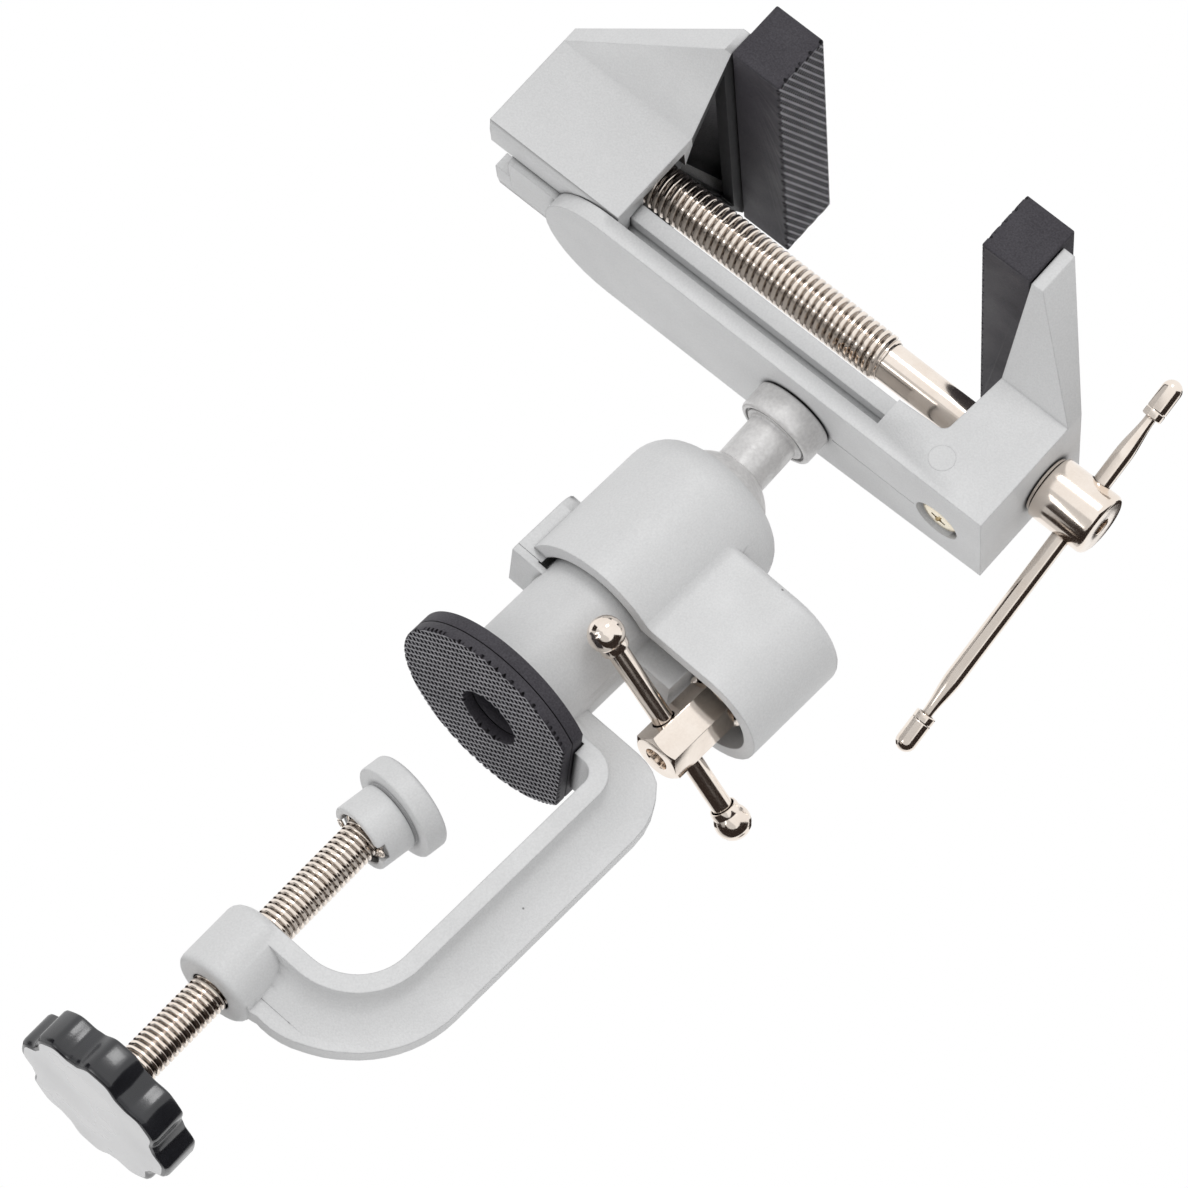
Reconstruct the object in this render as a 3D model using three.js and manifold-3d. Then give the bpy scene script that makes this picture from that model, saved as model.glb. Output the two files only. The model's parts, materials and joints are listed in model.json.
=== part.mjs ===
// Swivel bench vise: a C-clamp foot, a ball joint locked by a squeezed socket cap,
// and a vise head whose moving jaw runs on a T-shaped bed. Millimetres, +Z up.
import * as THREE from 'three';
import { mergeVertices } from 'three/addons/utils/BufferGeometryUtils.js';
import { ConvexGeometry } from 'three/addons/geometries/ConvexGeometry.js';
import Module from 'manifold-3d';

const wasm = await Module();
wasm.setup();

// Fits
const FIT_GAP = 0.3;
const CUT_OVERRUN = 1.0;
const share = (length, part) => length * part;

// Facets round a full turn
const ROUND_FINE = 64;
const ROUND_MEDIUM = 40;
const ROUND_SMALL = 24;
const ARC_STEPS = 8;

// Table pad: two layers under the barrel, with one flat side beside the arm
const PAD_RADIUS = 21.5;
const PAD_FLAT_X = 18;
const PAD_HOLE_RADIUS = 6.4;
const PAD_SEAM_Z = 2.4;
const PAD_TOP_Z = 5.3;
const PAD_SEAM_GAP = 0.3;

// Barrel and the guide that centres the socket cap
const BARREL_RADIUS = 12.7;
const BARREL_FOOT_Z = 5.6;
const BARREL_TOP_Z = 49;
const BARREL_MOUTH_RADIUS = 6.6;
const BARREL_MOUTH_TOP_Z = 9;
const BARREL_BORE_RADIUS = 9.4;
const BARREL_BORE_TOP_Z = 43;
const BARREL_CROWN_RADIUS = 6.2;
const GUIDE_RADIUS = 14;
const GUIDE_Z = 38;
const GUIDE_SLOPE = 1.3;

// C-shaped arm: a flat inner flange and a fluted web that thins to the outer lip
const ARM_INNER_X = 23.5;
const ARM_OUTER_X = 36.5;
const ARM_TOP_INNER_Z = 3;
const ARM_TOP_OUTER_Z = 13.3;
const ARM_LOW_INNER_Z = -60;
const ARM_LOW_OUTER_Z = -71.5;
const ARM_TOP_INNER_BEND = 3;
const ARM_LOW_INNER_BEND = 12;
const ARM_TOP_OUTER_BEND = 11;
const ARM_LOW_OUTER_BEND = 20;
const ARM_HALF_WIDTH = 7.5;
const ARM_FLANGE_THICK = 3.7;
const ARM_FLUTE_HALF = 5.6;
const ARM_LIP_HALF = 1.7;
const ARM_START_X = 7.5;
const ARM_END_X = 2;
const ARM_ROOT_X = 20;
const ARM_ROOT_MIDDLE_X = 10;
const ARM_ROOT_MIDDLE_HALF = 2.6;
const ARM_ROOT_MIDDLE_Z = -73.6;
const ARM_ROOT_HALF = 4.2;
const ARM_ROOT_DEPTH = 2;

// Boss of the clamp screw
const BOSS_RADIUS = 8.3;
const BOSS_TOP_Z = -59.6;
const BOSS_LOW_Z = -75.1;
const BOSS_ROUND = 1.4;
const BOSS_TOP_ROUND = 2.2;

// Lug and rib that hold the lock bolt, and the ear that the cap pivots on
const BOLT_X = 28;
const LUG_LOW_Z = 33.2;
const LUG_TOP_Z = 42;
const LUG_RADIUS = 7.2;
const RIB_HALF = 4.4;
const RIB_END_X = 21.3;
const RIB_LOW_Z = 26;
const EAR_X = -18.7;
const EAR_HALF = 6.3;
const EAR_SEAM_Z = 27.6;
const EAR_ROUND = 3;
const EAR_ROOT_Z = 24.2;

// Socket cap with its lobe
const CAP_RADIUS = 17.2;
const CAP_BORE_RADIUS = 14.3;
const CAP_LOW_Z = 29.3;
const CAP_SHOULDER_Z = 57.3;
const CAP_TOP_Z = 64.3;
const CAP_BORE_TOP_Z = 54.2;
const CAP_LIP = 0.9;
const LOBE_RADIUS = 12;
const LOBE_TOP_Z = 54;
const LOBE_WALL = 2.6;
const LOBE_ROOF = 2.8;
const LOBE_ROUND = 2;
const LOBE_VALLEY_RADIUS = 3;
const LOBE_BOSS_RADIUS = 6.4;
const LOBE_BOSS_LOW_Z = 46;
const CAP_EAR_TOP_Z = 43.7;
const CAP_EAR_ROUND = 4;

// Ball joint
const BALL_RADIUS = 11.5;
const BALL_Z = 60;
const SOCKET_GAP = 0.35;
const SEAT_BORE_RADIUS = 6.6;
const SEAT_RADIUS = 11.3;
const SEAT_EDGE_Z = 54.4;
const NECK_RADIUS = 5.5;
const COLLAR_RADIUS = 8.35;
const COLLAR_HEIGHT = 6;
const COLLAR_CHAMFER = 0.7;
const STUD_BORE_RADIUS = 2.8;
const STUD_BORE_DEPTH = 13;

// Lock bolt and its sliding bar
const HEX_FLATS = 9.7;
const HEX_LOW_Z = 15.5;
const HEX_TOP_Z = 31.6;
const HEX_CHAMFER = 0.8;
const LOCK_WASHER_LOW_Z = 31.9;
const LOCK_WASHER_TOP_Z = 32.9;
const LOCK_WASHER_RADIUS = 6.2;
const BOLT_RADIUS = 3.95;
const BOLT_BORE_RADIUS = 4.3;
const BOLT_TOP_Z = 51.6;
const BOLT_BORE_TOP_Z = 52;
const HEX_END_BORE_RADIUS = 2.4;
const HEX_END_BORE_DEPTH = 2.2;
const LOCK_BAR_Z = 21.2;
const LOCK_BAR_ANGLE = 41;
const LOCK_BAR_RADIUS = 2.1;
const LOCK_BAR_NEAR = 25.6;
const LOCK_BAR_FAR = 20.5;
const LOCK_BALL_RADIUS = 3.6;
const LOCK_BALL_BORE_DEPTH = 2.6;

// Clamp screw, pressure foot and knob
const CLAMP_AXIS_X = 0.8;
const CLAMP_LEAN = -1.57;
const CLAMP_SCREW_RADIUS = 3.95;
const CLAMP_BORE_RADIUS = 4.3;
const CLAMP_TIP_RADIUS = 3;
const CLAMP_TIP_Z = -26;
const CLAMP_TIP_LENGTH = 3.2;
const FOOT_TILT = 8.6;
const FOOT_TOP_Z = -21.4;
const FOOT_FLANGE_Z = -26.3;
const FOOT_LOW_Z = -34.5;
const FOOT_FLANGE_RADIUS = 10;
const FOOT_BODY_RADIUS = 7;
const FOOT_BORE_RADIUS = 5.4;
const FOOT_ROOF = 3.4;
const FOOT_ROUND = 1;
const FOOT_NECK_DEPTH = 0.5;
const RING_LOW_Z = -33.6;
const RING_TOP_Z = -32.2;
const RING_OUTER_RADIUS = 5.1;
const RING_INNER_RADIUS = 4.25;
const KNOB_TOP_Z = -98.5;
const KNOB_THICK = 8;
const KNOB_FACE_WALL = 2.1;
const KNOB_LOBE_RADIUS = 17.9;
const KNOB_VALLEY_RADIUS = 15.8;
const KNOB_LOBES = 8;
const KNOB_LOBE_POINTS = 9;
const KNOB_ROUND = 0.8;
const KNOB_RECESS_RADIUS = 12.6;
const KNOB_RECESS_DEPTH = 2.6;
const KNOB_HUB_RADIUS = 7;

// Vise head: x = 0 at the handle end of the block, z = 0 under the bed
const STUD_X = -45.5;
const STUD_DROP = 26.5;
const HEAD_LEAN = 8.541;
const HEAD_LEAN_AZIMUTH = -100.016;
const HEAD_SPIN = 98.575;

// Bed: a boat-ended foot slab, a keel and a head slab, one T-shaped rail
const BED_HALF = 14.75;
const BED_FOOT_TOP_Z = 3.5;
const BED_FOOT_ROUND_X = -94;
const BED_FULL_X = -28;
const BED_FULL_TOP_Z = 9.8;
const KEEL_HALF = 5.6;
const KEEL_LOW_Z = 2;
const KEEL_END_X = -119.7;
const RAIL_HALF = 9.3;
const RAIL_LOW_Z = 7.35;
const RAIL_TOP_Z = 10.9;
const RAIL_END_X = -119;
const RAIL_CHANNEL_HALF = 6.6;
const RAIL_CHANNEL_Z = 9;
const RAIL_CHANNEL_START_X = -112;
const RAIL_CHANNEL_END_X = -32;

// Fixed block
const BLOCK_FAR_HALF = 10.9;
const BLOCK_TAPER_X = -59;
const BLOCK_TOP_Z = 25.7;
const BLOCK_INNER_LOW_X = -17.2;
const BLOCK_INNER_TOP_X = -16.1;
const NOTCH_ROUND = 1.8;
const NOTCH_FLOOR_Z = 10.3;

// Jaw castings behind the pads
const PLATE_HALF = 36.4;
const PLATE_LOW_Z = 36.4;
const FIXED_PLATE_TOP_Z = 45.7;
const FIXED_PLATE_THICK = 2.6;
const FIXED_BACK_Z = 29.3;
const MOVING_PLATE_TOP_Z = 41.9;
const MOVING_PLATE_THICK = 1.6;
const MOVING_BACK_Z = 28.8;
const BACK_LINE = 0.4;
const TONGUE_HALF = 31.5;
const TONGUE_LOW_Z = 38.4;
const TONGUE_TOP_Z = 41.2;
const TONGUE_DEPTH = 3.8;

// Pads
const PAD_LENGTH_HALF = 37.5;
const PAD_LOW_Z = 36.2;
const PAD_HIGH_Z = 49.3;
const PAD_THICK = 11.6;
const FIXED_PAD_FACE_X = -30.2;
const MOVING_PAD_FACE_X = -79.5;

// Moving jaw
const MOVING_PLATE_X = MOVING_PAD_FACE_X - PAD_THICK - FIT_GAP;
const JAW_SETBACK = 1.4;
const JAW_LENGTH = 32.4;
const JAW_RIGHT_X = MOVING_PLATE_X - JAW_SETBACK;
const JAW_LEFT_X = JAW_RIGHT_X - JAW_LENGTH;
const JAW_LOW_Z = 3.6;
const JAW_SIDE_LOW_Z = 4.1;
const JAW_FOOT_HALF = 11;
const JAW_TOP_Z = 25.8;
const JAW_WALL = 2.9;
const JAW_TONGUE_TOP_Z = 7.05;
const JAW_RAIL_TOP_Z = 11.2;
const JAW_NUT_SETBACK = 3.7;
const JAW_NUT_LENGTH = 11.5;
const JAW_NUT_RADIUS = 7.4;
const JAW_HOLLOW_TOP_Z = 22.8;
const GUSSET_WALL = 2.6;
const GUSSET_LENGTH = 25.2;
const GUSSET_ROOF_Z = 39;
const GUSSET_MOUTH_Z = 34.4;
const GUSSET_MOUTH_HALF = 30;
const GUSSET_ROOT_HALF = 6;

// Lead screw and tommy bar
const SCREW_Z = 19;
const THREAD_RADIUS = 4.85;
const THREAD_LEFT_X = -119;
const THREAD_RIGHT_X = -38.6;
const THREAD_CHAMFER = 0.8;
const SHANK_RADIUS = 4.05;
const SHANK_BORE_RADIUS = 4.35;
const NUT_BORE_RADIUS = 5.15;
const HUB_RADIUS = 6.6;
const HUB_LEFT_X = 1.1;
const HUB_RIGHT_X = 13.9;
const HUB_ROUND = 1.2;
const HUB_END_HOLE_RADIUS = 1.9;
const HUB_END_HOLE_DEPTH = 1.6;
const THRUST_LEFT_X = 0.25;
const THRUST_RIGHT_X = 0.85;
const THRUST_RADIUS = 6.9;
const GROOVE_X = -10.75;
const GROOVE_HALF = 2.3;
const GROOVE_RADIUS = 3;
const TOMMY_X = 8.7;
const TOMMY_TILT = 20.98;
const TOMMY_SLIP = -13.2;
const TOMMY_HALF = 43.5;
const TOMMY_RADIUS = 1.85;
const TOMMY_HOLE_RADIUS = 2.2;
const TOMMY_NECK_RADIUS = 1.1;
const TOMMY_NECK_LENGTH = 9;
const TOMMY_CAP_RADIUS = 2.1;
const TOMMY_CAP_LENGTH = 8.5;
const TOMMY_CAP_BORE_RADIUS = 1.45;
const TOMMY_CAP_BORE_DEPTH = 2.4;

// Small screws of the head
const RETAINER_RECESS_RADIUS = 5;
const RETAINER_RECESS_DEPTH = 1.9;
const RETAINER_HEAD_RADIUS = 4.3;
const RETAINER_HEAD_LOW_Z = 0.5;
const RETAINER_HEAD_TOP_Z = 1.6;
const RETAINER_SHANK_RADIUS = 1.9;
const RETAINER_BORE_RADIUS = 2.3;
const RETAINER_TIP_Z = 15.6;
const STUD_SCREW_HEAD_RADIUS = 4.1;
const STUD_SCREW_HEAD_LOW_Z = 4.9;
const STUD_SCREW_HEAD_TOP_Z = 8;
const STUD_SCREW_RADIUS = 2.45;
const STUD_SCREW_TIP_Z = -11;
const STUD_SINK_RADIUS = 4.6;
const STUD_SINK_Z = 4.6;
const STUD_HOLE_RADIUS = 2.9;

// Materials
const CAST_PAINT = { color: 0xc9cacb, roughness: 0.55, metalness: 0.55 };
const RAW_CAST = { color: 0x9c9794, roughness: 0.5, metalness: 0.85 };
const NICKEL = { color: 0xc9bba8, roughness: 0.18, metalness: 1 };
const BRASS = { color: 0xd8c48a, roughness: 0.3, metalness: 1 };
const RUBBER = { color: 0x3a3a3d, roughness: 0.85, metalness: 0 };
const KNOB_PLASTIC = { color: 0x1b1c1e, roughness: 0.25, metalness: 0 };
const SEAT_NYLON = { color: 0xd9d6cc, roughness: 0.6, metalness: 0 };

function signedVolume(positions, triangles) {
  let total = 0;
  const corners = [new THREE.Vector3(), new THREE.Vector3(), new THREE.Vector3()];
  for (let i = 0; i < triangles.length; i += 3) {
    corners.forEach((corner, k) => corner.fromArray(positions, 3 * triangles[i + k]));
    total += corners[0].dot(corners[1].cross(corners[2]));
  }
  return total;
}

// One closed solid from a closed three.js geometry, faces outward.
function solid(geometry) {
  geometry.deleteAttribute('normal');
  geometry.deleteAttribute('uv');
  const merged = mergeVertices(geometry);
  const index = merged.index.array;
  const kept = [];
  for (let i = 0; i < index.length; i += 3) {
    const [a, b, c] = [index[i], index[i + 1], index[i + 2]];
    if (a !== b && b !== c && c !== a) kept.push(a, b, c);
  }
  const positions = Float32Array.from(merged.attributes.position.array);
  if (signedVolume(positions, kept) < 0) {
    for (let i = 0; i < kept.length; i += 3) {
      [kept[i + 1], kept[i + 2]] = [kept[i + 2], kept[i + 1]];
    }
  }
  const mesh = new wasm.Mesh({
    numProp: 3,
    vertProperties: positions,
    triVerts: Uint32Array.from(kept),
  });
  return new wasm.Manifold(mesh);
}

const join = (...solids) => solids.reduce((whole, next) => whole.add(next));
const cut = (whole, ...tools) => tools.reduce((left, tool) => left.subtract(tool), whole);

// Body of revolution about Z; the outline is a list of [radius, z].
function turned(outline, facets = ROUND_MEDIUM) {
  const closed = outline.map(([radius, z]) => new THREE.Vector2(radius, z));
  const first = outline[0];
  const last = outline[outline.length - 1];
  if (first[0] > 0 || last[0] > 0) closed.push(closed[0].clone());
  return new THREE.LatheGeometry(closed, facets).rotateX(Math.PI / 2);
}

// The same geometry with its Z axis laid along X.
const alongX = (geometry) => geometry.rotateY(Math.PI / 2);

function disc(radius, lowZ, topZ, facets = ROUND_MEDIUM) {
  return turned([[0, lowZ], [radius, lowZ], [radius, topZ], [0, topZ]], facets);
}

function ring(inner, outer, lowZ, topZ, facets = ROUND_MEDIUM) {
  return turned([[inner, lowZ], [outer, lowZ], [outer, topZ], [inner, topZ]], facets);
}

function box(x, y, z) {
  const geometry = new THREE.BoxGeometry(x[1] - x[0], y[1] - y[0], z[1] - z[0]);
  return geometry.translate((x[0] + x[1]) / 2, (y[0] + y[1]) / 2, (z[0] + z[1]) / 2);
}

const outlineShape = (points) => new THREE.Shape(points.map((p) => new THREE.Vector2(...p)));

// Plan outline (x, y) raised from lowZ to topZ.
function raised(points, lowZ, topZ) {
  const settings = { depth: topZ - lowZ, bevelEnabled: false };
  return new THREE.ExtrudeGeometry(outlineShape(points), settings).translate(0, 0, lowZ);
}

// Side outline (x, z) drawn from y = -half to y = +half.
function sideways(points, half) {
  const settings = { depth: 2 * half, bevelEnabled: false };
  const geometry = new THREE.ExtrudeGeometry(outlineShape(points), settings);
  return geometry.rotateX(Math.PI / 2).translate(0, half, 0);
}

// End outline (y, z) drawn from lowX to topX.
function lengthways(points, lowX, topX) {
  const settings = { depth: topX - lowX, bevelEnabled: false };
  const geometry = new THREE.ExtrudeGeometry(outlineShape(points), settings);
  const turn = new THREE.Matrix4().makeBasis(
    new THREE.Vector3(0, 1, 0),
    new THREE.Vector3(0, 0, 1),
    new THREE.Vector3(1, 0, 0),
  );
  return geometry.applyMatrix4(turn).translate(lowX, 0, 0);
}

// Points of an arc, angles in degrees, both ends included.
function arc(cx, cy, radius, from, to, steps = ARC_STEPS, radiusY = radius) {
  const points = [];
  for (let i = 0; i <= steps; i += 1) {
    const angle = THREE.MathUtils.degToRad(from + ((to - from) * i) / steps);
    points.push([cx + radius * Math.cos(angle), cy + radiusY * Math.sin(angle)]);
  }
  return points;
}

// Plan outline with a half-round left end and a square right end.
function boatOutline(roundX, rightX, half) {
  return [[rightX, -half], [rightX, half], ...arc(roundX, 0, half, 90, 270, 2 * ARC_STEPS)];
}

// Path of the arm in the XZ plane, with denser stations in its two bends.
class ArmPath extends THREE.Curve {
  constructor() {
    super();
    const topX = ARM_INNER_X - ARM_TOP_INNER_BEND;
    const topZ = ARM_TOP_INNER_Z - ARM_TOP_INNER_BEND;
    const lowX = ARM_INNER_X - ARM_LOW_INNER_BEND;
    const lowZ = ARM_LOW_INNER_Z + ARM_LOW_INNER_BEND;
    const station = (x, z, degrees) => ({
      point: new THREE.Vector3(x, 0, z),
      angle: THREE.MathUtils.degToRad(degrees),
    });
    const bend = (cx, cz, radius, from, to, steps) => arc(cx, cz, radius, from, to, steps)
      .map(([x, z], i) => station(x, z, from + ((to - from) * i) / steps));
    this.stations = [
      station(ARM_START_X, ARM_TOP_INNER_Z, 90),
      ...bend(topX, topZ, ARM_TOP_INNER_BEND, 90, 0, ARC_STEPS),
      ...bend(lowX, lowZ, ARM_LOW_INNER_BEND, 0, -90, 2 * ARC_STEPS),
      station(ARM_END_X, ARM_LOW_INNER_Z, -90),
    ];
  }

  getPoint(t) {
    const last = this.stations.length - 1;
    const at = Math.min(Math.floor(t * last), last - 1);
    const { point } = this.stations[at];
    return point.clone().lerp(this.stations[at + 1].point, t * last - at);
  }

  getSpacedPoints() {
    return this.stations.map(({ point }) => point.clone());
  }

  computeFrenetFrames() {
    const normals = this.stations.map(
      ({ angle }) => new THREE.Vector3(Math.cos(angle), 0, Math.sin(angle)),
    );
    const binormals = this.stations.map(() => new THREE.Vector3(0, 1, 0));
    const tangents = normals.map((n, i) => n.clone().cross(binormals[i]));
    return { tangents, normals, binormals };
  }
}

// Half outline of the arm's section: flange, step, flute and lip.
function armSection() {
  const depth = ARM_OUTER_X - ARM_INNER_X;
  const fluteDepth = depth - ARM_FLANGE_THICK;
  const fluteRise = ARM_FLUTE_HALF - ARM_LIP_HALF;
  const flute = arc(depth, ARM_FLUTE_HALF, fluteDepth, 180, 270, ARC_STEPS, fluteRise);
  const half = [[0, ARM_HALF_WIDTH], [ARM_FLANGE_THICK, ARM_HALF_WIDTH], ...flute];
  const mirrored = half.map(([n, y]) => [n, -y]).reverse();
  return [...half, ...mirrored];
}

function armSolid() {
  const path = new ArmPath();
  const sweep = new THREE.ExtrudeGeometry(outlineShape(armSection()), {
    steps: path.stations.length - 1,
    extrudePath: path,
    bevelEnabled: false,
  });
  const topX = ARM_OUTER_X - ARM_TOP_OUTER_BEND;
  const topZ = ARM_TOP_OUTER_Z - ARM_TOP_OUTER_BEND;
  const lowX = ARM_OUTER_X - ARM_LOW_OUTER_BEND;
  const lowZ = ARM_LOW_OUTER_Z + ARM_LOW_OUTER_BEND;
  const limit = [
    [ARM_END_X - CUT_OVERRUN, ARM_TOP_OUTER_Z],
    ...arc(topX, topZ, ARM_TOP_OUTER_BEND, 90, 0, ARC_STEPS),
    ...arc(lowX, lowZ, ARM_LOW_OUTER_BEND, 0, -90, 2 * ARC_STEPS),
    [ARM_END_X - CUT_OVERRUN, ARM_LOW_OUTER_Z],
  ];
  return solid(sweep).intersect(solid(sideways(limit, ARM_HALF_WIDTH + CUT_OVERRUN)));
}

// Corner points of a plate that stands across the X axis.
function plateCorners(backX, frontX, half, lowZ, topZ) {
  const corners = [];
  for (const x of [backX, frontX]) {
    for (const y of [-half, half]) {
      for (const z of [lowZ, topZ]) corners.push(new THREE.Vector3(x, y, z));
    }
  }
  return corners;
}

const wedge = (...groups) => solid(new ConvexGeometry(groups.flat()));

// Places a solid of the clamp screw's line, which leans slightly about the boss's middle.
function onSpindle(body) {
  const middle = (BOSS_TOP_Z + BOSS_LOW_Z) / 2;
  return body
    .translate([0, 0, -middle])
    .rotate([0, CLAMP_LEAN, 0])
    .translate([CLAMP_AXIS_X, 0, middle]);
}

function clampFrame() {
  const barrel = solid(turned([
    [0, BARREL_FOOT_Z],
    [BARREL_RADIUS, BARREL_FOOT_Z],
    [BARREL_RADIUS, GUIDE_Z - GUIDE_SLOPE],
    [GUIDE_RADIUS, GUIDE_Z],
    [GUIDE_RADIUS, BARREL_TOP_Z],
    [0, BARREL_TOP_Z],
  ], ROUND_FINE));
  const boss = solid(turned([
    [0, BOSS_LOW_Z],
    ...arc(BOSS_RADIUS - BOSS_ROUND, BOSS_LOW_Z + BOSS_ROUND, BOSS_ROUND, -90, 0, 3),
    ...arc(BOSS_RADIUS - BOSS_TOP_ROUND, BOSS_TOP_Z - BOSS_TOP_ROUND, BOSS_TOP_ROUND, 0, 90, 4),
    [0, BOSS_TOP_Z],
  ]));
  const rib = solid(box([0, RIB_END_X], [-RIB_HALF, RIB_HALF], [RIB_LOW_Z, LUG_TOP_Z]));
  const lugPlan = [
    [0, -LUG_RADIUS],
    ...arc(BOLT_X, 0, LUG_RADIUS, -90, 90, 2 * ARC_STEPS),
    [0, LUG_RADIUS],
  ];
  const lug = solid(raised(lugPlan, LUG_LOW_Z, LUG_TOP_Z));
  const ear = solid(lengthways([
    ...arc(EAR_ROUND - EAR_HALF, EAR_ROOT_Z + EAR_ROUND, EAR_ROUND, 180, 270, 4),
    ...arc(EAR_HALF - EAR_ROUND, EAR_ROOT_Z + EAR_ROUND, EAR_ROUND, -90, 0, 4),
    [EAR_HALF, EAR_SEAM_Z],
    [-EAR_HALF, EAR_SEAM_Z],
  ], EAR_X, 0));
  const bore = solid(turned([
    [0, BARREL_FOOT_Z - CUT_OVERRUN],
    [BARREL_MOUTH_RADIUS, BARREL_FOOT_Z - CUT_OVERRUN],
    [BARREL_MOUTH_RADIUS, BARREL_MOUTH_TOP_Z],
    [BARREL_BORE_RADIUS, BARREL_MOUTH_TOP_Z + BARREL_BORE_RADIUS - BARREL_MOUTH_RADIUS],
    [BARREL_BORE_RADIUS, BARREL_BORE_TOP_Z],
    [BARREL_CROWN_RADIUS, BARREL_BORE_TOP_Z],
    [BARREL_CROWN_RADIUS, BARREL_TOP_Z + CUT_OVERRUN],
    [0, BARREL_TOP_Z + CUT_OVERRUN],
  ]));
  const padRoom = solid(box(
    [0, PAD_FLAT_X + FIT_GAP],
    [-PAD_RADIUS, PAD_RADIUS],
    [ARM_TOP_INNER_Z - CUT_OVERRUN, BARREL_FOOT_Z],
  ));
  const bossBore = solid(
    disc(CLAMP_BORE_RADIUS, BOSS_LOW_Z - CUT_OVERRUN, BOSS_TOP_Z + CUT_OVERRUN, ROUND_SMALL),
  );
  const boltBore = solid(
    disc(BOLT_BORE_RADIUS, LUG_LOW_Z - CUT_OVERRUN, LUG_TOP_Z + CUT_OVERRUN, ROUND_SMALL)
      .translate(BOLT_X, 0, 0),
  );
  const armRoot = wedge(
    plateCorners(ARM_ROOT_X - BACK_LINE, ARM_ROOT_X, ARM_LIP_HALF - BACK_LINE,
      ARM_LOW_OUTER_Z + BACK_LINE, ARM_LOW_OUTER_Z + ARM_ROOT_DEPTH),
    plateCorners(ARM_ROOT_MIDDLE_X - BACK_LINE, ARM_ROOT_MIDDLE_X, ARM_ROOT_MIDDLE_HALF,
      ARM_ROOT_MIDDLE_Z, ARM_ROOT_MIDDLE_Z + ARM_ROOT_DEPTH),
    plateCorners(0, BACK_LINE, ARM_ROOT_HALF, BOSS_LOW_Z, BOSS_LOW_Z + ARM_ROOT_DEPTH),
  );
  const arm = cut(join(armSolid(), armRoot, onSpindle(boss)), onSpindle(bossBore));
  return cut(join(barrel, arm, rib, lug, ear), bore, padRoom, boltBore);
}

function padLayer(radius, lowZ, topZ) {
  const flat = box([PAD_FLAT_X, 2 * PAD_RADIUS], [-PAD_RADIUS, PAD_RADIUS], [
    lowZ - CUT_OVERRUN,
    topZ + CUT_OVERRUN,
  ]);
  return cut(solid(ring(PAD_HOLE_RADIUS, radius, lowZ, topZ, ROUND_FINE)), solid(flat));
}

// Plan outline of the lobe, with filleted roots against the cap's cylinder.
function lobePlan(radius, capRadius, valley) {
  const valleyX = Math.sqrt((capRadius + valley) ** 2 - (radius + valley) ** 2);
  const meet = THREE.MathUtils.radToDeg(Math.atan2(radius + valley, valleyX));
  return [
    ...arc(BOLT_X, 0, radius, -90, 90, 2 * ARC_STEPS),
    ...arc(valleyX, radius + valley, valley, 270, 180 + meet, 3),
    [0, radius],
    [0, -radius],
    ...arc(valleyX, -radius - valley, valley, 180 - meet, 90, 3),
  ];
}

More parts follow.
